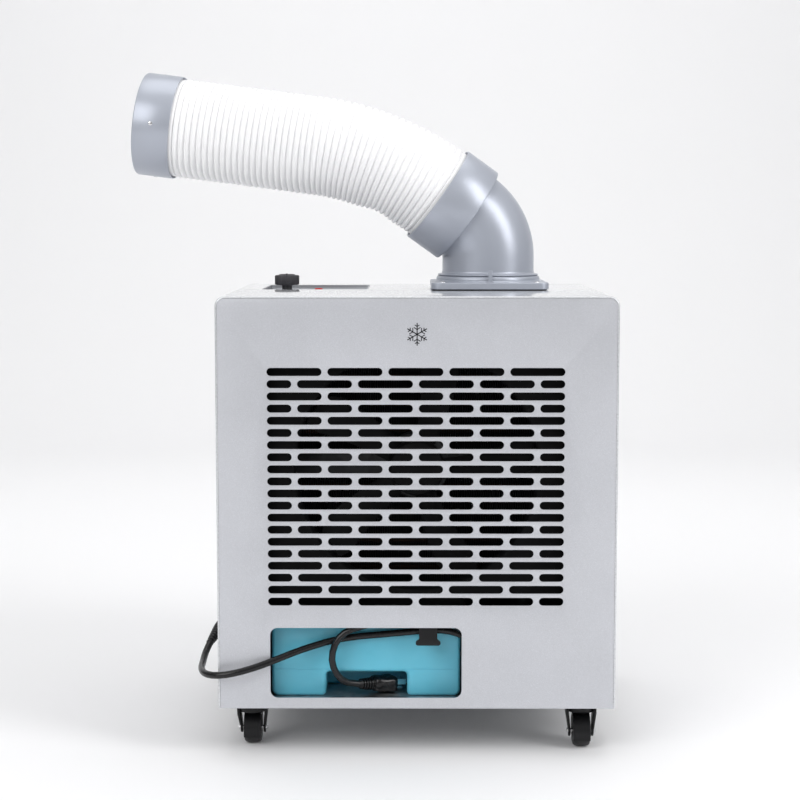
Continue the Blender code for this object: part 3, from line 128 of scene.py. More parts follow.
# Mains lead
LEAD_RADIUS = 0.0035
GLAND, GLAND_HOLE = Vector((-0.2, -0.0780, 0.1120)), 0.0055
BOOT_AXIS = Vector((-0.36, -0.78, -0.51)).normalized()
BOOT_LENGTH = 0.026
BOOT_START = GLAND - 0.0068 * X
COIL_CENTRE, COIL_RADIUS, COIL_FLOOR = Vector((0.1250, -0.1150, 0)), 0.0361, 0.0568
LEAD_FRONT = [
    (-0.2190, -0.1095, 0.0918),
    (-0.2197, -0.1270, 0.0868),
    (-0.2190, -0.1470, 0.0845),
    (-0.2137, -0.1660, 0.0842),
    (-0.2040, -0.1778, 0.0850),
    (-0.1905, -0.1832, 0.0870),
    (-0.1735, -0.1820, 0.0905),
    (-0.1560, -0.1780, 0.0952),
    (-0.1400, -0.1722, 0.1002),
    (-0.1230, -0.1650, 0.1055),
    (-0.1050, -0.1592, 0.1105),
    (-0.0850, -0.1558, 0.1155),
    (-0.0620, -0.1550, 0.1192),
    (-0.0380, -0.1550, 0.1215),
    (-0.0120, -0.1550, 0.1238),
    (0.0130, -0.1550, 0.1260),
    (0.0330, -0.1552, 0.1250),
    (0.0500, -0.1550, 0.1188),
    (0.0640, -0.1510, 0.1085),
    (0.0755, -0.1425, 0.0980),
    (0.0830, -0.1310, 0.0895),
]
LEAD_RETURN = [
    (0.1080, -0.1535, 0.0858),
    (0.0910, -0.1570, 0.0925),
    (0.0755, -0.1605, 0.1035),
    (0.0610, -0.1628, 0.1165),
    (0.0450, -0.1635, 0.1290),
    (0.0265, -0.1635, 0.1385),
    (0.0050, -0.1635, 0.1428),
    (-0.0180, -0.1635, 0.1408),
    (-0.0400, -0.1635, 0.1360),
    (-0.0599, -0.1637, 0.1305),
    (-0.0723, -0.1641, 0.1254),
    (-0.0813, -0.1645, 0.1155),
    (-0.0855, -0.1648, 0.1000),
    (-0.0819, -0.1628, 0.0845),
    (-0.0720, -0.1572, 0.0732),
]
PLUG_START = Vector((-0.0585, -0.1496, 0.0690))
PLUG_AXIS = Vector((0.866, 0.488, -0.095)).normalized()


# ---------------------------------------------------------------- camera, floor and lights


def camera():
    """An 82 mm lens at the height of the hose, looking a little down at the front."""
    data = bpy.data.cameras.new("camera")
    data.sensor_width = 36
    data.lens = LENS
    data.clip_end = 50
    obj = bpy.data.objects.new("camera", data)
    bpy.context.scene.collection.objects.link(obj)
    obj.location = CABINET + CAMERA_PLACE
    obj.rotation_euler = (math.radians(90 - CAMERA_TILT), 0, math.radians(CAMERA_TURN))
    bpy.context.scene.camera = obj


def area_light(name, place, target, size, power):
    """A soft white light that faces its target. Places are from the cabinet's middle."""
    data = bpy.data.lights.new(name, "AREA")
    data.shape = "RECTANGLE"
    data.size, data.size_y = size
    data.energy = power
    obj = bpy.data.objects.new(name, data)
    bpy.context.scene.collection.objects.link(obj)
    obj.location = CABINET + Vector(place)
    obj.rotation_euler = (Vector(target) - Vector(place)).to_track_quat("-Z", "Y").to_euler()


def room():
    """Light from all round, dim at eye level and bright overhead, for dark reflections in smooth faces."""
    world = bpy.data.worlds.new("studio")
    bpy.context.scene.world = world
    world.use_nodes = True
    tree = world.node_tree
    split = tree.nodes.new("ShaderNodeSeparateXYZ")
    tree.links.new(tree.nodes.new("ShaderNodeTexCoord").outputs["Generated"], split.inputs["Vector"])
    rise = tree.nodes.new("ShaderNodeMapRange")
    for socket, value in (("From Min", 0.05), ("From Max", 0.8), ("To Min", 0.17), ("To Max", 0.60)):
        rise.inputs[socket].default_value = value
    tree.links.new(split.outputs["Z"], rise.inputs["Value"])
    tree.links.new(rise.outputs["Result"], tree.nodes["Background"].inputs["Strength"])
    tree.nodes["Background"].inputs["Color"].default_value = (1, 1, 1, 1)


def paper_sweep():
    """A white sheet of paper, flat under the object and curving up behind it."""
    paper = bpy.data.materials.new("paper")
    paper.use_nodes = True
    shader = paper.node_tree.nodes["Principled BSDF"]
    shader.inputs["Base Color"].default_value = (0.86, 0.86, 0.87, 1)
    shader.inputs["Roughness"].default_value = 0.7
    near, far, radius, height, half = -4.0, 2.2, 1.2, 4.0, 5.0
    steps = 16
    profile = [(near, 0.0)]
    for step in range(steps + 1):
        angle = math.radians(90 * step / steps)
        profile.append((far + radius * math.sin(angle), radius * (1 - math.cos(angle))))
    profile.append((far + radius, height))
    points = [(side * half, y, z) for y, z in profile for side in (-1, 1)]
    faces = [(2 * i, 2 * i + 1, 2 * i + 3, 2 * i + 2) for i in range(len(profile) - 1)]
    mesh = bpy.data.meshes.new("floor")
    mesh.from_pydata(points, [], faces)
    mesh.shade_smooth()
    mesh.materials.append(paper)
    floor = bpy.data.objects.new("floor", mesh)
    bpy.context.scene.collection.objects.link(floor)


def studio():
    bpy.context.scene.view_settings.view_transform = "Standard"
    room()
    paper_sweep()
    area_light("key_light", (-1.9, -2.3, 1.9), (0, 0, 0.3), (2.3, 2.0), 50)
    area_light("side_light", (1.9, -1.2, 1.5), (0, 0, 0.45), (0.9, 1.8), 34)
    area_light("top_light", (0, 0.3, 2.6), (0, 0, 0.3), (2.4, 1.6), 21)
    area_light("back_light", (0, 0.9, 2.2), (0, 3.2, 1.5), (3.5, 1.0), 27)


# ---------------------------------------------------------------- materials


class Look:
    """A Principled material and the few nodes that vary it over the surface."""

    def __init__(self, name, roughness, metallic=0.0):
        self.material = bpy.data.materials.new(name)
        self.material.use_nodes = True
        self.nodes = self.material.node_tree.nodes
        self.links = self.material.node_tree.links
        self.shader = self.nodes["Principled BSDF"]
        self.shader.inputs["Roughness"].default_value = roughness
        self.shader.inputs["Metallic"].default_value = metallic
        self.place = self.nodes.new("ShaderNodeTexCoord").outputs["Object"]
        self.normal = None

    def link(self, start, end):
        self.links.new(start, end)

    def noise(self, scale, detail=2.0, stretch=(1, 1, 1)):
        """Smooth noise, scale cells to the metre, drawn out along an axis where stretch is below 1."""
        place = self.nodes.new("ShaderNodeMapping")
        place.inputs["Scale"].default_value = stretch
        self.link(self.place, place.inputs["Vector"])
        noise = self.nodes.new("ShaderNodeTexNoise")
        noise.inputs["Scale"].default_value = scale
        noise.inputs["Detail"].default_value = detail
        self.link(place.outputs["Vector"], noise.inputs["Vector"])
        return noise.outputs["Fac"]

    def speckle(self, scale):
        """One random value in each cell, scale cells to the metre."""
        cells = self.nodes.new("ShaderNodeTexVoronoi")
        cells.inputs["Scale"].default_value = scale
        self.link(self.place, cells.inputs["Vector"])
        value = self.nodes.new("ShaderNodeSeparateColor")
        self.link(cells.outputs["Color"], value.inputs["Color"])
        return value.outputs["Red"]

    def ramp(self, value, stops):
        ramp = self.nodes.new("ShaderNodeValToRGB")
        while len(ramp.color_ramp.elements) < len(stops):
            ramp.color_ramp.elements.new(0.5)
        for element, (at, colour) in zip(ramp.color_ramp.elements, stops):
            element.position = at
            element.color = (*colour, 1)
        self.link(value, ramp.inputs["Fac"])
        return ramp.outputs["Color"]

    def between(self, value, low, high):
        """The value, from 0 to 1, spread from low to high."""
        spread = self.nodes.new("ShaderNodeMapRange")
        spread.inputs["To Min"].default_value = low
        spread.inputs["To Max"].default_value = high
        self.link(value, spread.inputs["Value"])
        return spread.outputs["Result"]

    def multiply(self, first, second):
        mix = self.nodes.new("ShaderNodeMix")
        mix.data_type = "RGBA"
        mix.blend_type = "MULTIPLY"
        sockets = {socket.name: socket for socket in mix.inputs if socket.enabled}
        sockets["Factor"].default_value = 1.0
        self.link(first, sockets["A"])
        self.link(second, sockets["B"])
        return next(socket for socket in mix.outputs if socket.enabled)

    def colour(self, value):
        self.link(value, self.shader.inputs["Base Color"])

    def cloudy(self, noise, dark, light):
        """A colour that drifts between a dark and a light one."""
        self.colour(self.ramp(noise, [(0.3, dark), (0.7, light)]))

    def glow(self, weight, reach):
        """Light that spreads inside the material, by a reach in metres for each of the three colours."""
        self.shader.inputs["Subsurface Weight"].default_value = weight
        self.shader.inputs["Subsurface Radius"].default_value = reach

    def roughness(self, value, low, high):
        self.link(self.between(value, low, high), self.shader.inputs["Roughness"])

    def bump(self, value, height, strength=1.0):
        """Adds relief of a height in metres."""
        bump = self.nodes.new("ShaderNodeBump")
        bump.inputs["Distance"].default_value = height
        bump.inputs["Strength"].default_value = strength
        self.link(value, bump.inputs["Height"])
        if self.normal is not None:
            self.link(self.normal, bump.inputs["Normal"])
        self.normal = bump.outputs["Normal"]
        self.link(self.normal, self.shader.inputs["Normal"])

    def coat(self, weight, roughness):
        self.shader.inputs["Coat Weight"].default_value = weight
        self.shader.inputs["Coat Roughness"].default_value = roughness


def shades(colour, spread):
    """The colour a little darker and a little lighter."""
    return [tuple(c * (1 - spread) for c in colour), tuple(c * (1 + spread) for c in colour)]


def painted_sheet(name, colour, metallic, roughness, coat, gloss=0.12):
    """Metallic powder paint: a fine sparkle, a faint orange peel and a slight cloudiness."""
    look = Look(name, roughness, metallic)
    dark, light = shades(colour, 0.035)
    cloud = look.ramp(look.noise(9, 3), [(0.35, dark), (0.65, light)])
    grain = look.ramp(look.speckle(2600), [(0.0, (0.90,) * 3), (0.8, (1.0,) * 3), (1.0, (1.12,) * 3)])
    look.colour(look.multiply(cloud, grain))
    look.roughness(look.speckle(2600), roughness - 0.05, roughness + 0.07)
    look.bump(look.noise(420, 2), 0.00004, 0.35)
    look.bump(look.noise(2400, 1), 0.00002, 0.25)
    look.coat(coat, gloss)
    return look.material


def moulded(name, colour, roughness, grain=0.00002, spread=0.03, fine=1500, metallic=0.0, specular=0.5):
    """Moulded plastic: an even colour with a fine grain and faint flow marks."""
    look = Look(name, roughness, metallic)
    look.shader.inputs["Specular IOR Level"].default_value = specular
    look.cloudy(look.noise(22, 4), *shades(colour, spread))
    look.roughness(look.noise(60, 3), roughness - 0.03, roughness + 0.04)
    look.bump(look.noise(fine, 2), grain, 0.5)
    return look.material


def tank_plastic():
    """Blow-moulded translucent plastic, thicker and so deeper in colour in some places."""
    look = Look("tank_plastic", 0.36)
    thick, thin = (0.100, 0.450, 0.590), (0.145, 0.545, 0.700)
    look.cloudy(look.noise(14, 3, (1, 1, 1.6)), thick, thin)
    look.roughness(look.noise(90, 3), 0.30, 0.44)
    look.bump(look.noise(35, 2), 0.0004, 0.35)
    look.bump(look.noise(900, 2), 0.00003, 0.4)
    look.glow(0.3, (0.003, 0.010, 0.012))
    return look.material


def hose_plastic():
    """Thin white film over a wire helix, faintly crinkled along its ribs."""
    look = Look("hose_plastic", 0.38)
    look.cloudy(look.noise(40, 4), (0.86, 0.86, 0.87), (0.90, 0.90, 0.905))
    look.roughness(look.noise(120, 3), 0.32, 0.46)
    look.bump(look.noise(260, 3), 0.00008, 0.25)
    look.glow(0.1, (0.003, 0.003, 0.003))
    return look.material


def cable_rubber(name, colour, roughness):
    """Soft black rubber with a fine grain."""
    look = Look(name, roughness)
    look.shader.inputs["Specular IOR Level"].default_value = 0.4
    look.cloudy(look.noise(130, 4), *shades(colour, 0.18))
    look.roughness(look.noise(300, 3), roughness - 0.05, roughness + 0.08)
    look.bump(look.noise(1700, 3), 0.00003, 0.4)
    return look.material


def bare_metal(name, colour, roughness, stretch=(1, 1, 1), cells=0.0):
    """Plain metal with drawing marks along the axis whose stretch is below 1, or with zinc spangle."""
    look = Look(name, roughness, 1.0)
    dark, light = shades(colour, 0.08)
    if cells:
        look.colour(look.ramp(look.speckle(cells), [(0.0, dark), (1.0, light)]))
        look.roughness(look.speckle(cells), roughness - 0.08, roughness + 0.12)
    else:
        look.cloudy(look.noise(240, 3, stretch), dark, light)
        look.roughness(look.noise(240, 3, stretch), roughness - 0.07, roughness + 0.1)
    look.bump(look.noise(700, 2, stretch), 0.00002, 0.5)
    return look.material


def make_looks():
    """Every material by its slot in the record, or by its own name where a detail has none there."""
    return {
        "silver_paint": painted_sheet("silver_paint", (0.545, 0.555, 0.590), 0.35, 0.40, 0.25),
        "lid_paint": painted_sheet("lid_paint", (0.600, 0.610, 0.635), 0.35, 0.30, 0.9, 0.03),
        "grey_plastic": moulded("grey_moulded", (0.400, 0.425, 0.485), 0.34, 0.00001, 0.012, 1500, 0.3),
        "white_hose": hose_plastic(),
        "cyan_plastic": tank_plastic(),
        "black_plastic": moulded("black_moulded", (0.006, 0.006, 0.007), 0.38, 0.00004, 0.15, 900, 0, 0.3),
        "matt_black": moulded("matt_moulded", (0.004, 0.004, 0.0045), 0.65, 0.00004, 0.15, 900, 0, 0.12),
        "knob_plastic": moulded("knob_moulded", (0.030, 0.028, 0.034), 0.42, 0.00004, 0.12, 900),
        "tray_plastic": moulded("tray_moulded", (0.42, 0.43, 0.455), 0.25, 0.00002, 0.04, 900, 0.4),
        "red_plastic": moulded("red_moulded", (0.560, 0.020, 0.014), 0.22, 0.00001, 0.08),
        "foam": cable_rubber("foam_rubber", (0.010, 0.010, 0.010), 0.85),
        "black_paint": moulded("black_enamel", (0.006, 0.006, 0.007), 0.34, 0.00005, 0.1, 500, 0, 0.3),
        "dark_tread": cable_rubber("tread_rubber", (0.010, 0.0095, 0.011), 0.40),
        "bright_steel": bare_metal("bright_zinc", (0.74, 0.74, 0.76), 0.22),
        "zinc_steel": bare_metal("spangled_zinc", (0.46, 0.47, 0.48), 0.42, cells=120),
        # dark_zinc is painted shade: galvanised sheet painted nearly black for the sheets deep inside the
        # cabinet, where light hardly reaches
        "dark_zinc": bare_metal("shade_darkened_zinc", (0.06, 0.061, 0.063), 0.65, cells=120),
        # The fins are painted nearly black: painted shade inside the cabinet, not the colour of aluminium
        "fin_aluminium": bare_metal("shade_darkened_fin_metal", (0.035, 0.036, 0.038), 0.6, (1, 1, 0.05)),
        "copper": bare_metal("drawn_copper", (0.72, 0.36, 0.22), 0.30),
        # The coils' copper tubes are painted dark: painted shade inside the cabinet, with a dull roughness
        "shaded_dull_copper": bare_metal("shade_darkened_copper", (0.060, 0.030, 0.020), 0.6),
        "black_rubber": cable_rubber("cable_rubber", (0.0045, 0.0043, 0.0052), 0.24),
    }


# ---------------------------------------------------------------- mesh tools


def show(name, mesh, look, body, stands_for=()):
    """Adds a mesh or curve made in the cabinet's coordinates as a piece that rides on a body."""
    mesh.materials.clear()
    mesh.materials.append(LOOKS[look])
    mesh.transform(Matrix.Translation(CABINET))
    obj = bpy.data.objects.new(name, mesh)
    bpy.context.scene.collection.objects.link(obj)
    if body:
        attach(obj, body)
    if stands_for:
        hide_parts(*stands_for)
    return obj


def smooth(mesh, degrees=35):
    """Smooth shading, with edges sharper than the angle left sharp."""
    mesh.shade_smooth()
    mesh.set_sharp_from_angle(angle=math.radians(degrees))
    return mesh


def stand(mesh, at=(0, 0, 0), along=Z):
    """Turns a mesh made along +Z to point along a direction, and moves it to a point."""
    mesh.transform(Matrix.Translation(at) @ Vector(along).to_track_quat("Z", "Y").to_matrix().to_4x4())
    return mesh


def join(*meshes):
    """All the meshes as one, each still a closed shape of its own."""
    made = bmesh.new()
    for mesh in meshes:
        made.from_mesh(mesh)
    joined = bpy.data.meshes.new("joined")
    made.to_mesh(joined)
    made.free()
    return joined


def from_object(obj):
    """An object's mesh with its modifiers applied. The object itself is removed."""
    bpy.context.view_layer.update()
    graph = bpy.context.evaluated_depsgraph_get()
    mesh = bpy.data.meshes.new_from_object(obj.evaluated_get(graph))
    bpy.data.objects.remove(obj, do_unlink=True)
    return mesh


def loose(data):
    """A passing object that holds a mesh or curve while its modifiers work."""
    obj = bpy.data.objects.new("loose", data)
    bpy.context.scene.collection.objects.link(obj)
    return obj


def weld(mesh):
    """Joins points that lie on each other and turns every face outwards."""
    work = bmesh.new()
    work.from_mesh(mesh)
    bmesh.ops.remove_doubles(work, verts=work.verts, dist=0.000001)
    bmesh.ops.recalc_face_normals(work, faces=work.faces)
    work.to_mesh(mesh)
    work.free()
    return mesh


def cut(mesh, *cutters):
    """The mesh less the cutters."""
    target = loose(mesh)
    tools = [loose(cutter) for cutter in cutters]
    for tool in tools:
        step = target.modifiers.new("cut", "BOOLEAN")
        step.operation = "DIFFERENCE"
        step.object = tool
    made = from_object(target)
    for tool in tools:
        bpy.data.objects.remove(tool, do_unlink=True)
    return made


def bevelled(mesh, width, segments=3, degrees=40):
    """The mesh with its edges sharper than the angle rounded."""
    target = loose(mesh)
    step = target.modifiers.new("bevel", "BEVEL")
    step.width = width
    step.segments = segments
    step.limit_method = "ANGLE"
    step.angle_limit = math.radians(degrees)
    return smooth(from_object(target))


def block(low, high, edge, segments=3):
    """A box with rounded edges."""
    work = bmesh.new()
    bmesh.ops.create_cube(work, size=1)
    low, high = Vector(low), Vector(high)
    size = Matrix.Diagonal((high - low).to_4d())
    size[3][3] = 1
    work.transform(Matrix.Translation((low + high) / 2) @ size)
    if edge:
        bmesh.ops.bevel(
            work, geom=work.edges[:], offset=edge, segments=segments, profile=0.5, affect="EDGES"
        )
    mesh = bpy.data.meshes.new("block")
    work.to_mesh(mesh)
    work.free()
    return smooth(mesh)


def turned(profile, steps=48, at=(0, 0, 0), along=Z, closed=False, sharp=35):
    """A profile of (radius, height) points turned about the Z axis, then stood along a direction."""
    points, faces, rings = [], [], []
    for radius, height in profile:
        if radius == 0:
            rings.append([len(points)])
            points.append((0, 0, height))
            continue
        rings.append(list(range(len(points), len(points) + steps)))
        for i in range(steps):
            angle = math.tau * i / steps
            points.append((radius * math.cos(angle), radius * math.sin(angle), height))
    pairs = list(zip(rings, rings[1:])) + [(rings[-1], rings[0])] * closed
    for first, second in pairs:
        for i in range(steps):
            j = (i + 1) % steps
            quad = [first[i % len(first)], first[j % len(first)]]
            quad += [second[j % len(second)], second[i % len(second)]]
            faces.append(list(dict.fromkeys(quad)))
    mesh = bpy.data.meshes.new("turned")
    mesh.from_pydata(points, [], [face for face in faces if len(face) > 2])
    return smooth(stand(weld(mesh), at, along), sharp)


def rod(radius, length, steps, at, along=Z):
    """A plain cylinder that starts at a point."""
    return turned([(0, 0), (radius, 0), (radius, length), (0, length)], steps, at, along)


def mirrored(profile):
    """A profile of (radius, height) points with its mirror image about height 0 added after it."""
    return profile + [(radius, -height) for radius, height in profile[::-1]]


def arc(centre, radius, start, end, steps):
    """Points on an arc, from start to end in degrees."""
    angles = [math.radians(start + (end - start) * i / steps) for i in range(steps + 1)]
    return [(centre[0] + radius * math.cos(a), centre[1] + radius * math.sin(a)) for a in angles]


def rounded(low, high, radius, steps=6):
    """A rectangle with round corners, anticlockwise from its right side."""
    (left, bottom), (right, top) = low, high
    return (
        arc((right - radius, top - radius), radius, 0, 90, steps)
        + arc((left + radius, top - radius), radius, 90, 180, steps)
        + arc((left + radius, bottom + radius), radius, 180, 270, steps)
        + arc((right - radius, bottom + radius), radius, 270, 360, steps)
    )


def slab(outlines, depth, edge=0.0, facing=Y, at=0.0, segments=2):
    """Flat outlines, the later ones holes, made into a plate with rounded edges, from at to at + depth."""
    data = bpy.data.curves.new("slab", "CURVE")
    data.dimensions = "2D"
    data.fill_mode = "BOTH"
    data.extrude = depth / 2 - edge
    data.bevel_depth = edge
    data.bevel_resolution = segments
    data.offset = -edge
    for points in outlines:
        spline = data.splines.new("POLY")
        spline.points.add(len(points) - 1)
        for point, (across, up) in zip(spline.points, points):
            point.co = (across, up, 0, 1)
        spline.use_cyclic_u = True
    mesh = weld(from_object(loose(data)))
    middle = at + depth / 2
    lay = {
        "Y": Matrix(((1, 0, 0, 0), (0, 0, -1, middle), (0, 1, 0, 0), (0, 0, 0, 1))),
        "Z": Matrix.Translation((0, 0, middle)),
        "X": Matrix(((0, 0, 1, middle), (1, 0, 0, 0), (0, 1, 0, 0), (0, 0, 0, 1))),
    }["XYZ"[max(range(3), key=lambda i: facing[i])]]
    mesh.transform(lay)
    return smooth(mesh)


def smooth_route(points, spacing):
    """Evenly spaced points on the smooth curve through a route's own points."""
    route = [Vector(point) for point in points]
    ends = [2 * route[0] - route[1]] + route + [2 * route[-1] - route[-2]]
    fine = []
    for before, start, end, after in zip(ends, ends[1:], ends[2:], ends[3:]):
        for i in range(24):
            t = i / 24
            bend = 2 * before - 5 * start + 4 * end - after
            twist = 3 * start - before - 3 * end + after
            fine.append(0.5 * (2 * start + (end - before) * t + bend * t**2 + twist * t**3))
    fine.append(route[-1])
    lengths = [0.0]
    for start, end in zip(fine, fine[1:]):
        lengths.append(lengths[-1] + (end - start).length)
    count = max(2, round(lengths[-1] / spacing))
    even, at = [], 0
    for i in range(count + 1):
        goal = lengths[-1] * i / count
        while at < len(lengths) - 2 and lengths[at + 1] < goal:
            at += 1
        share = (goal - lengths[at]) / (lengths[at + 1] - lengths[at])
        even.append(fine[at].lerp(fine[at + 1], share))
    return even


def wire(points, radius, resolution=6):
    """A round tube along points, as a curve of one open spline."""
    data = bpy.data.curves.new("wire", "CURVE")
    data.dimensions = "3D"
    data.bevel_depth = radius
    data.bevel_resolution = resolution
    data.use_fill_caps = True
    spline = data.splines.new("POLY")
    spline.points.add(len(points) - 1)
    for point, place in zip(spline.points, points):
        point.co = (*place, 1)
    return data


def loft(outlines, closed=False):
    """Outlines of equally many points, each joined to the next. A closed one joins its last to its first,
    and an open one has both ends filled.
    """
    count = len(outlines[0])
    points = [tuple(point) for outline in outlines for point in outline]
    faces = []
    for row in range(len(outlines) if closed else len(outlines) - 1):
        low, high = row * count, (row + 1) % len(outlines) * count
        for i in range(count):
            j = (i + 1) % count
            faces.append((low + i, low + j, high + j, high + i))
    if not closed:
        faces.append(tuple(range(count))[::-1])
        faces.append(tuple(range(len(points) - count, len(points))))
    mesh = bpy.data.meshes.new("loft")
    mesh.from_pydata(points, [], faces)
    return smooth(weld(mesh))


def tube(stations, across, steps):
    """A hollow tube: its stations run up the outside and back down the inside.

    A station is (centre, direction, radius), and across is the sideways direction that all rings share.
    """
    rings = []
    for centre, ahead, radius in stations:
        up = ahead.cross(across).normalized()
        side = up.cross(ahead).normalized()
        angles = [math.tau * i / steps for i in range(steps)]
        rings.append([centre + radius * (math.cos(a) * side + math.sin(a) * up) for a in angles])
    return loft(rings, closed=True)


def screw(at, along, radius=0.0028, height=0.0014):
    """A pan head with a cross recess."""
    profile = [(0, 0), (radius, 0), (radius, 0.3 * height), (0.85 * radius, 0.75 * height)]
    head = turned(profile + [(0.5 * radius, height), (0, height)], 20)
    bar, deep = 0.18 * radius, 0.45 * height
    across = [
        block((-0.55 * radius, -bar, height - deep), (0.55 * radius, bar, height + deep), 0),
        block((-bar, -0.55 * radius, height - deep), (bar, 0.55 * radius, height + deep), 0),
    ]
    return stand(smooth(cut(head, *across)), at, along)


# ---------------------------------------------------------------- pieces shared by the rest


BODY_OF = {node: body for body, nodes in frame["record"]["behaviour"]["bodies"].items() for node in nodes}
SLOT_OF = {entry["node"]: entry["material_slot"] for entry in frame["record"]["subparts"]}


def part(node, mesh, look=None):
    """Shows a finer mesh in a CAD node's place, on its body and with its slot."""
    slot = SLOT_OF[node]
    return show(f"{node}_skin", mesh, look or slot, BODY_OF[node], stands_for=(node,))


def detail(node, name, mesh, look, slot=None):
    """Shows a small extra piece that moves with a CAD node."""
    return show(name, mesh, look, BODY_OF[node])


def own_mesh(node):
    """A copy of a CAD node's mesh in the cabinet's coordinates."""
    source = frame["nodes"][node]
    mesh = source.data.copy()
    mesh.transform(Matrix.Translation(-CABINET) @ source.matrix_world)
    return mesh


def refined(node, width, look=None, segments=2):
    """The CAD solid's own mesh with its edges rounded."""
    mesh = own_mesh(node)
    work = bmesh.new()
    work.from_mesh(mesh)
    bmesh.ops.remove_doubles(work, verts=work.verts, dist=0.000002)
    flat = math.radians(1)
    bmesh.ops.dissolve_limit(work, angle_limit=flat, verts=work.verts, edges=work.edges)
    work.to_mesh(mesh)
    work.free()
    return part(node, bevelled(mesh, width, segments), look)


# ---------------------------------------------------------------- cabinet


def arch(half_width, bottom, top, radius, steps=10):
    """The cabinet's outline: square at the bottom, with a round corner at each side of the top."""
    left = arc((radius - half_width, top - radius), radius, 180, 90, steps)
    right = arc((half_width - radius, top - radius), radius, 90, 0, steps)
    return [(-half_width, bottom)] + left + right + [(half_width, bottom)]


def casing():
    """Top and sides in one folded sheet. Its front and rear edges are rolled over and turned in."""
    end = [(SHEET, SHEET + 0.0002), (RIM, SHEET), (RIM, 0.0002), (RIM - 0.0002, 0)]
    steps = 5
    for step in range(steps + 1):
        angle = math.radians(90 * step / steps)
        end.append((EDGE_BEND * (1 - math.sin(angle)), EDGE_BEND * (1 - math.cos(angle))))
    profile = [(inset, FRONT + away) for inset, away in end]
    profile += [(inset, BACK - away) for inset, away in end[::-1]]
    outlines = []
    for inset, y in profile:
        outline = arch(HALF_WIDTH - inset, BOTTOM, TOP - inset, FOLD_RADIUS - inset)
        outlines.append([(x, y, z) for x, z in outline])
    # Turned about, each outline point runs round the section, so that both bottom edges get a cap
    sheet = loft([[outline[i] for outline in outlines] for i in range(len(outlines[0]))])
    through, under = 0.01, TOP - 0.006
    outlet_hole = rod(OUTLET_RADIUS, through, 72, PIPE + under * Z)
    dish_hole = slab([rounded(TRAY_LOW, TRAY_HIGH, TRAY_CORNER)], through, 0, Z, under)
    gland_hole = rod(GLAND_HOLE, through, 32, GLAND - 0.004 * X, X)
    part("casing", smooth(cut(sheet, outlet_hole, dish_hole, gland_hole)), "lid_paint")


def panel_outline():
    return arch(HALF_WIDTH - PANEL_INSET, BOTTOM, TOP - PANEL_INSET, FOLD_RADIUS - PANEL_INSET)


def slot_hole(middle, height, length):
    """A slot with round ends."""
    radius = SLOT_HEIGHT / 2
    reach = length / 2 - radius
    right = arc((middle + reach, height), radius, -90, 90, 9)
    return right + arc((middle - reach, height), radius, 90, 270, 9)


def front_panel():
    """The slotted front sheet: each punched edge rolls over a little."""
    holes = [rounded((WINDOW_LEFT, WINDOW_LOW), (WINDOW_RIGHT, WINDOW_HIGH), WINDOW_RADIUS, 10)]
    for row in range(ROWS):
        height = FIELD_TOP - row * ROW_PITCH
        if row % 2 == 0:
            holes += [slot_hole(FIELD_CENTRE + i * SLOT_PITCH, height, LONG_SLOT) for i in range(-2, 3)]
            continue
        holes += [slot_hole(FIELD_CENTRE + (i + 0.5) * SLOT_PITCH, height, LONG_SLOT) for i in range(-2, 2)]
        end = 2 * SLOT_PITCH + (LONG_SLOT - SHORT_SLOT) / 2
        holes += [slot_hole(FIELD_CENTRE + side * end, height, SHORT_SLOT) for side in (-1, 1)]
    part("front_panel", slab([panel_outline()] + holes, SHEET, PUNCHED_EDGE, Y, FRONT + 0.0001))


def rear_panel():
    """The rear sheet: intake slots, an opening for the tank and eight screws."""
    low, high = (TANK_LOW.x - 0.003, 0.0555), (TANK_HIGH.x + 0.003, 0.1360)
    holes = [rounded(low, high, 0.004)]
    for row in range(9):
        height = FIELD_TOP - (0.5 + 2 * row) * ROW_PITCH
        holes += [slot_hole(i * SLOT_PITCH, height, LONG_SLOT) for i in range(-2, 3)]
    part("rear_panel", slab([panel_outline()] + holes, SHEET, PUNCHED_EDGE, Y, BACK - SHEET - 0.0001))
    places = [(side * 0.188, height) for side in (-1, 1) for height in (0.070, 0.250, 0.440)]
    places += [(-0.094, 0.450), (0.094, 0.450)]
    heads = [screw((x, BACK - 0.0002, z), Y) for x, z in places]
    detail("rear_panel", "rear_screws", join(*heads), "bright_steel")


def snowflake():
    """A plain six-armed snowflake printed above the grille."""
    half, thick, reach = 0.00050, 0.00012, 0.0112
    bars = []
    for arm in range(6):
        pieces = [block((0, -thick, -half), (reach, 0, half), 0)]
        for start, length in ((0.0048, 0.0040), (0.0078, 0.0027)):
            for side in (-1, 1):
                barb = block((0, -thick, -half * 0.85), (length, 0, half * 0.85), 0)
                lean = Matrix.Rotation(math.radians(side * 58), 4, "Y")
                barb.transform(Matrix.Translation((start, 0, 0)) @ lean)
                pieces.append(barb)
        made = join(*pieces)
        made.transform(Matrix.Rotation(math.radians(30 + 60 * arm), 4, "Y"))
        bars.append(made)
    mark = join(*bars)
    mark.transform(Matrix.Translation((0, FRONT + 0.0001, 0.4265)))
    detail("front_panel", "snowflake_mark", mark, "black_plastic")


def plain_sheets():
    """The sheets and trays inside, each with its edges eased."""
    refined("base_pan", 0.0006)
    # The bay cover and the partition take dark_zinc: painted shade, galvanised sheet made nearly black
    refined("bay_cover", 0.0004, "dark_zinc")
    refined("partition", 0.0004, "dark_zinc")
    refined("drain_pan", 0.0006)


# ---------------------------------------------------------------- tank


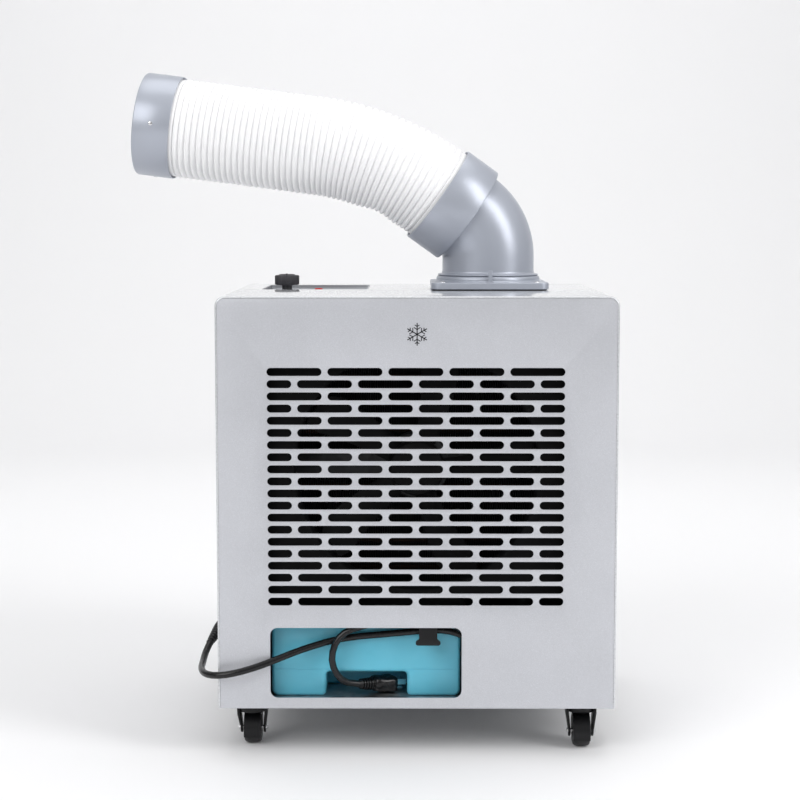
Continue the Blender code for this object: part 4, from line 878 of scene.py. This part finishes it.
def tank_outline(inset):
    """The tank from the front: round corners and a notch in its lower edge."""
    left, right = TANK_LOW.x - TANK_SWELL + inset, TANK_HIGH.x + TANK_SWELL - inset
    low, high = TANK_LOW.z + inset, TANK_HIGH.z - inset
    corner, fillet, toe = 0.007 - inset, 0.004 + inset, 0.0045 - inset
    notch_left, notch_right, top = NOTCH_LEFT - inset, NOTCH_RIGHT + inset, NOTCH_TOP + inset
    return (
        arc((right - corner, high - corner), corner, 0, 90, 8)
        + arc((left + corner, high - corner), corner, 90, 180, 8)
        + arc((left + corner, low + corner), corner, 180, 270, 8)
        + arc((notch_left - toe, low + toe), toe, 270, 360, 6)
        + arc((notch_left + fillet, top - fillet), fillet, 180, 90, 8)
        + arc((notch_right - fillet, top - fillet), fillet, 90, 0, 8)
        + arc((notch_right + toe, low + toe), toe, 180, 270, 6)
        + arc((right - corner, low + corner), corner, 270, 360, 8)
    )


def water_tank():
    """A blow-moulded tank with soft edges, a parting line across its front and a low neck on top.

    Its notch ends at a wall behind, so that it is a recess for the fingers.
    """
    length = TANK_HIGH.y - TANK_LOW.y
    tank = slab([tank_outline(0)], length, 0.0036, Y, TANK_LOW.y, 5)
    room = slab([tank_outline(0.002)], length - 0.004, 0.0025, Y, TANK_LOW.y + 0.002, 3)
    mouth = rod(MOUTH_RADIUS, 0.01, 48, TANK_MOUTH - 0.006 * Z)
    parting_line = block(
        (TANK_LOW.x - 0.001, TANK_LOW.y - 0.001, NOTCH_TOP + 0.0028),
        (TANK_HIGH.x + 0.001, TANK_LOW.y + 0.0003, NOTCH_TOP + 0.0036),
        0,
    )
    made = cut(tank, room, mouth, parting_line)
    lip = [(0, -0.0010), (0.0025, -0.0010), (0.0022, 0.0010), (0.0016, 0.0014), (0.0004, 0.0014), (0, 0.0010)]
    neck = turned([(MOUTH_RADIUS + away, up) for away, up in lip], 48, TANK_MOUTH, closed=True)
    behind = block(
        (NOTCH_LEFT - 0.006, TANK_LOW.y + NOTCH_DEPTH, TANK_LOW.z + 0.0002),
        (NOTCH_RIGHT + 0.006, TANK_HIGH.y - 0.003, NOTCH_TOP + 0.004),
        0.0030,
        4,
    )
    part("water_tank", join(smooth(made, 40), neck, behind))
    refined("tank_stop", 0.0009, segments=3)


# ---------------------------------------------------------------- controls


def controls():
    """The dish in the top with the thermostat's knob and the power switch in it."""
    (left, front), (right, back) = TRAY_LOW, TRAY_HIGH
    wall = 0.0015
    outer = rounded((left + GAP, front + GAP), (right - GAP, back - GAP), TRAY_CORNER)
    body = slab([outer], TOP - 0.0002 - TRAY_FLOOR + wall, 0.0003, Z, TRAY_FLOOR - wall)
    dish = block((left + wall, front + wall, TRAY_FLOOR), (right - wall, back - wall, TOP + 0.02), 0.0028, 4)
    shaft = rod(0.0037, 0.02, 24, (KNOB.x, KNOB.y, TRAY_FLOOR - 0.01))
    half = Vector((0.0065, 0.0095, 0.01))
    middle = Vector((SWITCH.x, SWITCH.y, TRAY_FLOOR))
    opening = block(middle - half, middle + half, 0)
    brim = 0.0077
    rim = rounded((left - brim, front - brim), (right + brim, back + brim), 0.006)
    flange = slab([rim, outer], wall, 0.0003, Z, TOP - SHEET - GAP - wall)
    part("control_tray", join(smooth(cut(body, dish, shaft, opening)), flange), "tray_plastic")
    refined("switch_frame", 0.0005)
    refined("power_rocker", 0.0007, segments=3)
    refined("thermostat_body", 0.0010)
    knob()


def knob():
    """A ribbed knob with a low domed middle, a pointer ridge and a slim stem."""
    ribs, steps, radius = 26, 8, 0.0136
    outlines = []
    for shrink, height in (
        (0.0016, 0.0000),
        (0.0004, 0.0004),
        (0.0000, 0.0012),
        (0.0000, 0.0096),
        (0.0004, 0.0104),
        (0.0012, 0.0108),
        (0.0030, 0.0108),
    ):
        deep = 0.00045 * max(0.0, 1 - shrink / 0.0020)
        outline = []
        for i in range(ribs * steps):
            angle = math.tau * i / (ribs * steps)
            reach = radius - shrink - deep * (0.5 + 0.5 * math.cos(ribs * angle)) ** 2
            outline.append((reach * math.cos(angle), reach * math.sin(angle), height))
        outlines.append(outline)
    body = loft(outlines)
    dome = [(0, 0.009), (0.0098, 0.009), (0.0098, 0.0106), (0.0090, 0.0115), (0.0070, 0.0120), (0, 0.0122)]
    dome = turned(dome, 48)
    ridge = block((-0.0010, -0.0098, 0.0100), (0.0010, -0.0010, 0.0127), 0.0005)
    stem = [(0, -0.0198), (0.0030, -0.0198), (0.0030, -0.0069), (0.0056, -0.0065), (0.0056, -0.0012)]
    stem = turned(stem + [(0.0062, 0.0002), (0, 0.0002)], 40)
    for mesh in (body, dome, ridge, stem):
        mesh.transform(Matrix.Translation(KNOB))
    part("thermostat_knob", join(body, dome, stem), "knob_plastic")
    detail("thermostat_knob", "knob_pointer", ridge, "knob_plastic", "black_plastic")


# ---------------------------------------------------------------- outlet, elbow and hose


def outlet():
    """The gasket, the square flange with its raised ring, four screws and the latch."""
    hole = arc((PIPE.x, PIPE.y), OUTLET_RADIUS, 0, 360, 72)[:-1]

    def square(inset):
        reach, corner = FLANGE_HALF - inset, FLANGE_CORNER - inset
        return rounded((PIPE.x - reach, PIPE.y - reach), (PIPE.x + reach, PIPE.y + reach), corner, 8)

    part("outlet_gasket", slab([square(0.0020), hole], 0.0006, 0.0001, Z, TOP + GAP))
    low = TOP + 0.0011
    flange = slab([square(0), hole], FLANGE_TOP - low, 0.0011, Z, low, 4)
    ring = turned(
        [
            (0.0476, -0.0030),
            (0.0585, -0.0020),
            (0.0580, 0.0002),
            (0.0569, 0.0008),
            (0.0563, 0.0018),
            (0.0564, 0.0032),
            (0.0560, 0.0046),
            (0.0551, 0.0056),
            (0.0538, 0.0061),
            (0.0482, 0.0061),
            (0.0476, 0.0055),
        ],
        96,
        PIPE + FLANGE_TOP * Z,
        closed=True,
    )
    part("outlet_flange", join(flange, ring))
    reach = 0.0500
    heads = [
        screw((PIPE.x + side * reach, PIPE.y + end * reach, FLANGE_TOP - 0.0002), Z, 0.0026, 0.0013)
        for side in (-1, 1)
        for end in (-1, 1)
    ]
    detail("outlet_flange", "flange_screws", join(*heads), "bright_steel")
    refined("elbow_latch", 0.0004, segments=3)
    foot = block(
        (PIPE.x - 0.0040, PIPE.y - 0.0622, FLANGE_TOP - 0.0004),
        (PIPE.x + 0.0040, PIPE.y - 0.0590, FLANGE_TOP + 0.0012),
        0.0005,
    )
    detail("outlet_flange", "latch_foot", foot, "grey_plastic")


def bend_point(angle):
    """The elbow's centre line, and the way it points, at an angle round its bend."""
    outward = Vector((math.cos(ELBOW_TURN), math.sin(ELBOW_TURN), 0))
    centre = PIPE + BEND_START * Z - BEND_RADIUS * outward
    place = centre + BEND_RADIUS * (math.cos(angle) * outward + math.sin(angle) * Z)
    return place, math.cos(angle) * Z - math.sin(angle) * outward


def elbow():
    """The bent pipe on its turning foot."""
    steps = 22
    line = [(PIPE + z * Z, Z) for z in (LIP_TOP - 0.001, LIP_TOP + 0.004, BEND_START - 0.0045)]
    line += [bend_point(BEND_ANGLE * i / steps) for i in range(steps + 1)]
    end, ahead = bend_point(BEND_ANGLE)
    line.append((end + SPIGOT_LENGTH * ahead, ahead))
    stations = [(place, way, PIPE_RADIUS) for place, way in line]
    stations += [(place, way, PIPE_RADIUS - PIPE_WALL) for place, way in line[::-1]]
    pipe = tube(stations, Y, 96)
    foot = turned(
        [
            (0.0448, -0.0124),
            (0.0472, -0.0124),
            (0.0472, -0.0020),
            (0.0534, -0.0020),
            (0.0544, -0.0017),
            (0.0547, -0.0011),
            (0.0543, -0.0005),
            (0.0530, -0.0002),
            (0.0512, 0.0001),
            (0.0504, 0.0008),
            (0.0500, 0.0024),
            (0.0488, 0.0010),
            (0.0448, -0.0010),
        ],
        96,
        PIPE + LIP_TOP * Z,
        closed=True,
    )
    part("outlet_elbow", join(pipe, foot))


def collar_skin(length, radius, bore, lip_inner, lip):
    """A sleeve open at its far end, where the rim flares inside, with a lip at its near end."""
    return [
        (lip_inner, 0.0004),
        (lip_inner + 0.0004, 0),
        (radius - 0.0012, 0),
        (radius - 0.0004, 0.0003),
        (radius, 0.0011),
        (radius, length - 0.0007),
        (radius - 0.0002, length - 0.0002),
        (radius - 0.0007, length),
        (bore + 0.0006, length),
        (bore + 0.0004, length - 0.0003),
        (bore, length - 0.0040),
        (bore, lip),
        (lip_inner, lip),
    ]


def hose_line():
    """The hose's centre line in small steps: (distance, place, direction), and its key points."""
    back, ahead = bend_point(BEND_ANGLE)
    mouth = back + COLLAR_LENGTH * ahead
    level = math.cos(HOSE_RISE)
    last = Vector((-level * math.cos(HOSE_TURN), level * math.sin(HOSE_TURN), math.sin(HOSE_RISE)))
    steps = 60
    line = [(0.0, mouth - HOSE_TUCK * ahead, ahead), (HOSE_TUCK, mouth, ahead)]
    place, gone = mouth, HOSE_TUCK
    for i in range(steps):
        heading = ahead.slerp(last, (i + 0.5) / steps)
        place = place + heading * HOSE_BEND_LENGTH / steps
        gone += HOSE_BEND_LENGTH / steps
        line.append((gone, place, ahead.slerp(last, (i + 1) / steps)))
    straight = place
    run = HOSE_STRAIGHT_LENGTH + HOSE_TUCK
    line.append((gone + run, straight + last * run, last))
    return line, straight, straight + HOSE_STRAIGHT_LENGTH * last, last


def along_hose(line, distance):
    """The place and the direction at a distance along the hose's centre line."""
    for (start, place, way), (end, next_place, next_way) in zip(line, line[1:]):
        if distance <= end or end == line[-1][0]:
            share = (distance - start) / (end - start)
            return place.lerp(next_place, share), way.lerp(next_way, share).normalized()


def pinch(mesh, line):
    """Presses in the small kink on the inner side of the hose's bend."""
    middle, way = along_hose(line, HOSE_TUCK + 0.37 * HOSE_BEND_LENGTH)
    under = Vector((-way.z, 0, way.x)).normalized()
    reach, depth = 0.011, 0.0050
    for vert in mesh.vertices:
        near = (vert.co - middle - HOSE_RADIUS * under).length / reach
        vert.co -= depth * math.exp(-near * near) * under


def air_hose():
    """Rounded ribs with narrow grooves between them, and a plain cuff at each end."""
    line, straight, _, last = hose_line()
    length = line[-1][0]
    cuff, step, margin = 0.0004, 0.0008, 0.0035
    first, final = HOSE_TUCK + margin, length - HOSE_TUCK - margin
    count = round((final - first) / RIB_PITCH)
    pitch = (final - first) / count

    def depths(rib):
        """(distance, depth below the ribs' crests) along the hose, from one rib's shape."""
        points = [(0.0, cuff), (first - step, cuff)]
        for i in range(count):
            points += [(first + (i + share) * pitch, deep * RIB_DEPTH) for share, deep in rib]
        return points + [(final, RIB_DEPTH), (final + step, cuff), (length, cuff)]

    rise = [(0.10, 0.72), (0.20, 0.28), (0.34, 0.05)]
    fall = [(0.66, 0.05), (0.80, 0.28), (0.90, 0.72)]
    outer = depths([(0, 1)] + rise + [(0.5, 0)] + fall)
    inner = depths([(0, 1), (0.5, 0.1)])
    stations = [(*along_hose(line, at), HOSE_RADIUS - deep) for at, deep in outer]
    stations += [(*along_hose(line, at), HOSE_RADIUS - deep - HOSE_WALL) for at, deep in inner[::-1]]
    mesh = tube(stations, Y, 72)
    pinch(mesh, line)
    mesh.shade_smooth()
    hose = show("air_hose_bellows", mesh, "white_hose", None, stands_for=("air_hose",))
    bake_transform(hose)


def collars():
    """The sleeve between the elbow and the hose, and the riveted nozzle at the hose's end."""
    back, ahead = bend_point(BEND_ANGLE)
    bore, lip_inner = COLLAR_RADIUS - COLLAR_WALL, PIPE_RADIUS + 2 * GAP
    near = collar_skin(COLLAR_LENGTH, COLLAR_RADIUS, bore, lip_inner, COLLAR_LIP)
    part("hose_collar", turned(near, 96, back, ahead, closed=True))
    end, last = hose_line()[2:]
    # The nozzle's open rim faces the hose, and a rounded end with a shoulder inside faces the room
    shoulder = 0.0152
    profile = [
        (NOZZLE_BORE, NOZZLE_LENGTH - 0.0012),
        (NOZZLE_BORE + 0.0006, NOZZLE_LENGTH - 0.0003),
        (NOZZLE_BORE + 0.0014, NOZZLE_LENGTH),
        (NOZZLE_RADIUS - 0.0020, NOZZLE_LENGTH),
        (NOZZLE_RADIUS - 0.0007, NOZZLE_LENGTH - 0.0005),
        (NOZZLE_RADIUS, NOZZLE_LENGTH - 0.0018),
        (NOZZLE_RADIUS, 0.0008),
        (NOZZLE_RADIUS - 0.0005, 0),
        (HOSE_RADIUS + 0.0012, 0),
        (HOSE_RADIUS + 0.0009, 0.0004),
        (HOSE_RADIUS + 0.0004, 0.0040),
        (HOSE_RADIUS + 0.0004, shoulder),
        (NOZZLE_BORE, shoulder),
    ]
    part("nozzle_collar", turned(profile, 96, end, last, closed=True))
    side = last.cross(Z).normalized()
    up = side.cross(last).normalized()
    middle = end + 0.5 * NOZZLE_LENGTH * last
    rivet = [(0, 0), (0.0022, 0), (0.0021, 0.0006), (0.0014, 0.0010), (0.0007, 0.0010)]
    rivet += [(0.0006, 0.0004), (0, 0.0004)]
    ways = (side, -side, up, -up)
    heads = [turned(rivet, 24, middle + (NOZZLE_RADIUS - 0.0003) * way, way) for way in ways]
    detail("nozzle_collar", "nozzle_rivets", join(*heads), "bright_steel")


# ---------------------------------------------------------------- mains lead


def coil_points():
    """The stored turns: three down the outer column and the rest up inside it, clockwise from above."""
    outer, inner = COIL_RADIUS + LEAD_RADIUS, COIL_RADIUS - LEAD_RADIUS
    layers = [COIL_FLOOR + (2 * i + 1) * LEAD_RADIUS for i in range(3)]
    over = COIL_FLOOR + 7 * LEAD_RADIUS + 2 * GAP
    # (turns wound, radius, height) at the places where the strand changes
    marks = [
        (0.00, COIL_RADIUS + 0.0020, over),
        (0.20, outer, layers[2]),
        (0.80, outer, layers[2]),
        (1.00, outer, layers[1]),
        (1.80, outer, layers[1]),
        (2.00, outer, layers[0]),
        (2.80, outer, layers[0]),
        (3.05, inner, layers[0]),
        (3.80, inner, layers[0]),
        (4.05, inner, layers[1]),
        (4.40, inner, layers[1]),
        (4.75, COIL_RADIUS + 0.0010, over),
    ]
    points = []
    for (turn, radius, height), (next_turn, next_radius, next_height) in zip(marks, marks[1:]):
        steps = max(2, round((next_turn - turn) * 20))
        for i in range(steps):
            t = i / steps
            ease = t * t * (3 - 2 * t)
            angle = math.pi - math.tau * (turn + (next_turn - turn) * t)
            reach = radius + (next_radius - radius) * ease
            place = COIL_CENTRE + reach * Vector((math.cos(angle), math.sin(angle), 0))
            points.append(place + (height + (next_height - height) * ease) * Z)
    return points


def mains_lead():
    """The lead in one run, from its boot through the stored coil to the plug."""
    start = BOOT_START + (BOOT_LENGTH - 0.002) * BOOT_AXIS
    end = PLUG_START + 0.002 * PLUG_AXIS
    coil = coil_points()
    last = COIL_CENTRE + Vector((0, -COIL_RADIUS - 0.0010, coil[0].z))
    route = smooth_route([start] + LEAD_FRONT + [coil[0]], 0.008)
    route += coil[1:]
    route += smooth_route([last] + LEAD_RETURN + [end], 0.008)
    nodes = ("lead_front", "lead_coil", "lead_return")
    lead = show("mains_lead", wire(route, LEAD_RADIUS), "black_rubber", "cabinet", stands_for=nodes)


def lead_gland():
    """A six-sided nut and a ribbed boot that tapers onto the lead."""
    outside = GLAND - GAP * X
    nut = turned([(0, 0), (0.0085, 0), (0.0095, 0.0008), (0.0095, 0.0052), (0.0085, 0.0060), (0, 0.0060)], 6)
    nut = stand(bevelled(nut, 0.0004), outside, -X)
    profile = [(0, -0.004), (0.0060, -0.004), (0.0062, 0.0030)]
    ribs = 6
    for rib in range(ribs):
        at = 0.0040 + rib * 0.0032
        radius = 0.0060 - rib * 0.00033
        profile += [(radius, at), (radius, at + 0.0014)]
        profile += [(radius - 0.0010, at + 0.0019), (radius - 0.0010, at + 0.0027)]
    profile += [(0.0040, BOOT_LENGTH - 0.001), (0.0036, BOOT_LENGTH), (0, BOOT_LENGTH)]
    boot = turned(profile, 28, BOOT_START, BOOT_AXIS)
    sleeve = rod(0.0050, 0.012, 24, outside - 0.001 * X, X)
    show("lead_gland", join(nut, boot, sleeve), "black_rubber", "cabinet", stands_for=("cord_gland",))


def mains_plug():
    """A moulded plug: a ribbed relief, a waisted grip, two flat blades and a round pin."""
    relief, body, blade = 0.0150, 0.0245, 0.0110
    profile = [(0, 0), (0.0038, 0), (0.0042, 0.0004)]
    for rib in range(5):
        at = 0.0010 + rib * 0.0028
        radius = 0.0052 + rib * 0.0003
        profile += [(radius, at), (radius + 0.0002, at + 0.0007), (radius, at + 0.0014)]
        profile += [(radius - 0.0013, at + 0.0017), (radius - 0.0013, at + 0.0026)]
    profile += [(0.0060, relief), (0.0075, relief + 0.002), (0, relief + 0.003)]
    sleeve = turned(profile, 32)
    outlines = []
    for share, wide, thick in (
        (0.00, 0.0075, 0.0062),
        (0.06, 0.0092, 0.0070),
        (0.22, 0.0104, 0.0076),
        (0.50, 0.0102, 0.0072),
        (0.78, 0.0112, 0.0079),
        (0.94, 0.0115, 0.0080),
        (1.00, 0.0109, 0.0075),
    ):
        height = relief + 0.0005 + share * (body - 0.0010)
        outline = rounded((-wide, -thick), (wide, thick), 0.0048, 5)
        outlines.append([(across, up, height) for across, up in outline])
    plug = join(sleeve, smooth(loft(outlines), 50))
    start, end, half = relief + body - 0.003, relief + body + blade, 0.0008
    blades = [block((x - half, -0.0005, start), (x + half, 0.0055, end), 0.0003) for x in (-0.0064, 0.0064)]
    pin = [(0, 0), (0.0023, 0), (0.0023, blade + 0.0015), (0.0012, blade + 0.003), (0, blade + 0.003)]
    pin = turned(pin, 20, (0, -0.0045, start))
    pins = join(*blades, pin)
    across = Z.cross(PLUG_AXIS).normalized()
    turn = Matrix((across, PLUG_AXIS.cross(across), PLUG_AXIS)).transposed().to_4x4()
    for mesh in (plug, pins):
        mesh.transform(Matrix.Translation(PLUG_START) @ turn)
    show("mains_plug", plug, "black_rubber", "cabinet", stands_for=("plug",))
    show("plug_pins", pins, "bright_steel", "cabinet")


# ---------------------------------------------------------------- casters


def caster_arm(side):
    """An arm that leans in from the crown to the axle and ends in a point just below it."""
    outline = [(-0.0115, 0.0420), (-0.0100, 0.0330), (-0.0030, 0.0215)]
    outline += arc((TRAIL, WHEEL_RADIUS), 0.0052, 170, 250, 5)
    outline += [(TRAIL + 0.0004, 0.0098)]
    outline += arc((TRAIL, WHEEL_RADIUS), 0.0052, 290, 370, 5)
    outline += [(0.0120, 0.0250), (0.0128, 0.0350), (0.0120, 0.0420)]
    # Made one unit thick, then each point is set between the inner and the outer face at its height
    work = bmesh.new()
    work.from_mesh(slab([outline], 1.0, 0.0, X, 0.0))
    for vert in work.verts:
        rise = min(1.0, max(0.0, (vert.co.z - WHEEL_RADIUS) / 0.0200))
        inner, outer = 0.0106 + 0.0022 * rise, 0.0130 + 0.0026 * rise
        vert.co.x = side * (inner + (outer - inner) * vert.co.x)
    bmesh.ops.recalc_face_normals(work, faces=work.faces)
    mesh = bpy.data.meshes.new("arm")
    work.to_mesh(mesh)
    work.free()
    return bevelled(mesh, 0.0005, 2, 30)


def caster_hood():
    """The curved guard over the wheel, under the crown."""
    edge = [(0.0080, 0.0165), (0.0086, 0.0165), (0.0086, 0.0186), (0.0078, 0.0192)]
    edge += [(-across, reach) for across, reach in edge[::-1]]
    outlines, steps = [], 14
    for step in range(steps + 1):
        angle = math.radians(200 - 220 * step / steps)
        ahead, up = math.cos(angle), math.sin(angle)
        ring = [(across, TRAIL + reach * ahead, WHEEL_RADIUS + reach * up) for across, reach in edge]
        outlines.append(ring)
    return loft(outlines)


def casters():
    """Four swivel casters: a plate with a boss, a crowned fork with leaning arms, a wheel and its axle."""
    crown = [(0, 0.0350), (0.0120, 0.0350), (0.0144, 0.0358), (0.0154, 0.0376), (0.0157, 0.0400)]
    crown += [(0.0157, 0.0442), (0.0152, 0.0452), (0.0142, 0.0457), (0, 0.0457)]
    fork = join(turned(crown, 56), caster_arm(1), caster_arm(-1), caster_hood())
    tyre = [(0.0024, -0.0078), (0.0070, -0.0078), (0.0078, -0.0084), (0.0122, -0.0089), (0.0142, -0.0084)]
    tyre += [(0.0153, -0.0068), (0.0158, -0.0045), (0.0160, -0.0018)]
    centre = (0, TRAIL, WHEEL_RADIUS)
    wheel = turned(mirrored(tyre), 64, centre, X, closed=True, sharp=50)
    axle = [(0, -0.0152), (0.0016, -0.0150), (0.0026, -0.0142), (0.0028, -0.0132), (0.0021, -0.0128)]
    axle = turned(mirrored(axle), 28, centre, X)
    for corner, (side, end, turn) in CASTERS.items():
        lay = Matrix.Rotation(math.radians(turn), 4, "Z")
        lay = Matrix.Translation((side * CASTER_X, end * CASTER_Y, 0)) @ lay
        for piece, pattern in (("fork", fork), ("wheel", wheel), ("axle", axle)):
            mesh = pattern.copy()
            mesh.transform(lay)
            part(f"caster_{corner}_{piece}", mesh)
        refined(f"caster_{corner}_mount", 0.0004)


# ---------------------------------------------------------------- machinery


def coil(node):
    """Thin upright fins between two end plates, with the tubes' return bends outside the left one."""
    low, high = node_box(node)
    rim = Vector((0.001, 0.002, 0.003))
    low, high = low + rim, high - rim
    fins, pitch, thick = [], 0.0024, 0.0005
    for i in range(round((high.x - low.x) / pitch)):
        x = low.x + (i + 0.5) * pitch
        fins.append(block((x - thick / 2, low.y, low.z), (x + thick / 2, high.y, high.z), 0))
    plates = [
        block(Vector((x, low.y, low.z)) - rim, Vector((x, high.y, high.z)) + rim, 0.0003)
        for x in (low.x, high.x)
    ]
    tubes = []
    rows = 9
    for row in range(rows):
        z = low.z + (row + 0.5) * (high.z - low.z) / rows
        for y in (low.y + 0.007, high.y - 0.007):
            run = [(low.x - 0.002, y, z), (high.x + 0.002, y, z)]
            tubes.append(from_object(loose(wire(run, 0.0030, 3))))
        bend = [(-0.001, -0.0080), (-0.006, -0.0078), (-0.0105, -0.0055), (-0.0125, 0.0)]
        bend += [(x, -across) for x, across in bend[-2::-1]]
        middle = (low.y + high.y) / 2
        points = [(low.x + x, middle + across, z) for x, across in bend]
        tubes.append(from_object(loose(wire(points, 0.0030, 3))))
    # The fins' slot and the tubes' copper are painted nearly black here: painted shade, for coils deep inside
    # the cabinet
    part(node, join(*fins, *plates))
    detail(node, f"{node}_tubes", smooth(join(*tubes)), "shaded_dull_copper", "copper")


def compressor():
    """A welded pot with a seam round its middle, on a base plate with three lugs."""
    x, y, foot = 0.1280, 0.0300, 0.0655
    profile = [(0, 0), (0.034, 0), (0.041, 0.0020), (0.0462, 0.0075), (0.0478, 0.016), (0.0480, 0.060)]
    profile += [(0.0484, 0.0606), (0.0484, 0.0634), (0.0480, 0.064), (0.0480, 0.116), (0.0470, 0.127)]
    profile += [(0.0430, 0.1365), (0.0360, 0.1430), (0.0250, 0.1472), (0.0120, 0.1488), (0, 0.1490)]
    pot = turned(profile, 72, (x, y, foot), sharp=50)
    corners, feet = [], []
    for away in (330, 210, 90):
        lug = arc((x, y), 0.058, away, away, 1)[0]
        corners += arc(lug, 0.009, away + 60, away - 60, 8)
        feet.append(lug)
    base = slab([corners], 0.0025, 0.0004, Z, foot)
    box_low = (x - 0.060, y - 0.016, foot + 0.045)
    terminal = block(box_low, (x - 0.044, y + 0.016, foot + 0.085), 0.003)
    part("compressor", join(pot, base, terminal))
    for index, lug in enumerate(feet, 1):
        low, high = 0.0568, foot - GAP
        middle = (low + high) / 2
        profile = [(0, low), (0.0070, low), (0.0075, low + 0.0008), (0.0072, low + 0.0022), (0.0060, middle)]
        profile += [(0.0072, high - 0.0022), (0.0075, high - 0.0008), (0.0070, high), (0, high)]
        part(f"compressor_foot_{index}", turned(profile, 36, (*lug, 0), sharp=60))


def fan_blade():
    """A twisted blade that widens outwards and is rounded at its tip."""
    spans, chords, thick = 12, 8, 0.0009
    top, under = [], []
    for i in range(spans + 1):
        share = i / spans
        reach = 0.0265 + share * (0.1175 - 0.0265)
        twist = math.radians(44 - 17 * share)
        half = (0.0150 + 0.0100 * share) * (1 - 0.35 * max(0.0, share - 0.85) / 0.15)
        for j in range(chords + 1):
            along = 2 * j / chords - 1
            camber = 0.0030 * (1 - along * along)
            z, y = half * along, camber
            turned_y = y * math.cos(twist) - z * math.sin(twist)
            turned_z = y * math.sin(twist) + z * math.cos(twist)
            skew = 0.012 * share * share
            edge = thick * (0.25 if abs(along) == 1 else 1.0)
            top.append((reach, turned_y - edge, turned_z + skew))
            under.append((reach, turned_y + edge, turned_z + skew))
    count, row = len(top), chords + 1
    faces = []
    for i in range(spans):
        for j in range(chords):
            a, b, c, d = i * row + j, i * row + j + 1, (i + 1) * row + j + 1, (i + 1) * row + j
            faces += [(a, b, c, d), (count + d, count + c, count + b, count + a)]
    rim = list(range(row)) + [i * row + chords for i in range(1, spans + 1)]
    rim += [spans * row + j for j in range(chords - 1, -1, -1)] + [i * row for i in range(spans - 1, 0, -1)]
    for a, b in zip(rim, rim[1:] + rim[:1]):
        faces.append((b, a, count + a, count + b))
    mesh = bpy.data.meshes.new("blade")
    mesh.from_pydata(top + under, [], faces)
    return smooth(weld(mesh), 60)


def condenser_fan():
    """The fan with its five blades, its shroud and its motor."""
    hub = [(0, -0.0130), (0.0120, -0.0130), (0.0215, -0.0122), (0.0262, -0.0100), (0.0280, -0.0060)]
    hub += [(0.0280, 0.0080), (0.0265, 0.0080), (0.0265, 0.0060), (0.0040, 0.0060), (0.0040, 0.0260)]
    hub = turned(hub + [(0, 0.0260)], 56, along=Y)
    blades = []
    for index in range(5):
        blade = fan_blade()
        blade.transform(Matrix.Rotation(index * math.tau / 5, 4, "Y"))
        blades.append(blade)
    fan = join(hub, *blades)
    fan.transform(Matrix.Translation(FAN))
    part("condenser_fan", fan, "matt_black")
    half_width, half_height, radius = 0.1560, 0.1290, 0.1262
    square = rounded((-half_width, FAN.z - half_height), (half_width, FAN.z + half_height), 0.006)
    hole = arc((0, FAN.z), radius, 0, 360, 96)[:-1]
    plate = slab([square, hole], 0.0015, 0.0003, Y, SHROUD_FACE)
    mouth = [(0.1264, 0), (0.1243, 0.0006), (0.1228, 0.0022), (0.1220, 0.0052), (0.1220, 0.0230)]
    mouth += [(0.1235, 0.0230), (0.1235, 0.0055), (0.1242, 0.0030), (0.1252, 0.0019), (0.1266, 0.0015)]
    mouth = turned(mouth, 120, (0, SHROUD_FACE, FAN.z), Y, closed=True)
    part("fan_shroud", join(plate, mouth), "matt_black")
    # The motor's dark_zinc is painted shade: zinc painted nearly black deep inside the cabinet
    refined("fan_motor", 0.0008, "dark_zinc")


def blower():
    """The drum of vanes, its housing and its motor."""
    centre = Vector((0.0575, 0.0030, 0.3350))
    reach = 0.056
    disc = [(0, -0.020), (0.0040, -0.020), (0.0040, -0.0002), (0.0560, 0), (0.0560, 0.0015), (0.0170, 0.0015)]
    disc = turned(disc + [(0.0130, 0.0060), (0.0120, 0.0200), (0, 0.0205)], 64, along=Y)
    band = [(0.0430, reach - 0.0020), (0.0560, reach - 0.0020), (0.0560, reach), (0.0440, reach)]
    band = turned(band, 72, along=Y, closed=True)
    vanes = []
    count = 32
    for index in range(count):
        vane = block((0.0440, 0.0010, -0.0005), (0.0555, reach - 0.0010, 0.0005), 0.0003, 1)
        for vert in vane.vertices:
            away = vert.co.x - 0.0500
            vert.co.z += 25 * away**2 + 0.35 * away
        vane.transform(Matrix.Rotation(index * math.tau / count, 4, "Y"))
        vanes.append(vane)
    wheel = join(disc, band, *vanes)
    wheel.transform(Matrix.Translation(centre))
    part("blower_wheel", wheel, "matt_black")
    refined("blower_housing", 0.0006, "matt_black")
    refined("blower_motor", 0.0015)


def electrics():
    """A box with an overlapping lid and two screws."""
    low, high = node_box("electrics_box")
    body = block(low, high - Vector((0.0004, 0, 0.0004)), 0.0012)
    lid = block((low.x, low.y, high.z - 0.012), high, 0.0010)
    part("electrics_box", join(body, lid))
    middle = (low.x + high.x) / 2
    heads = [screw((middle + side * 0.04, low.y + 0.0002, high.z - 0.006), -Y, 0.0022) for side in (-1, 1)]
    detail("electrics_box", "electrics_screws", join(*heads), "bright_steel")


def pipes():
    """The cooling pipes and the drip tube: the same solids with their skins drawn smooth."""
    for node in ("discharge_pipe", "suction_pipe", "liquid_pipe", "drain_tube"):
        part(node, smooth(weld(own_mesh(node)), 60))


# ---------------------------------------------------------------- the object, piece by piece

LOOKS = make_looks()
camera()
studio()
casing()
front_panel()
rear_panel()
snowflake()
plain_sheets()
water_tank()
controls()
outlet()
elbow()
collars()
air_hose()
casters()
coil("condenser_coil")
coil("evaporator_coil")
compressor()
condenser_fan()
blower()
electrics()
pipes()
lead_gland()
mains_plug()
mains_lead()

for entry in frame["record"]["subparts"]:
    solid = frame["nodes"][entry["node"]].data
    solid.materials.clear()
    solid.materials.append(LOOKS[entry["material_slot"]])
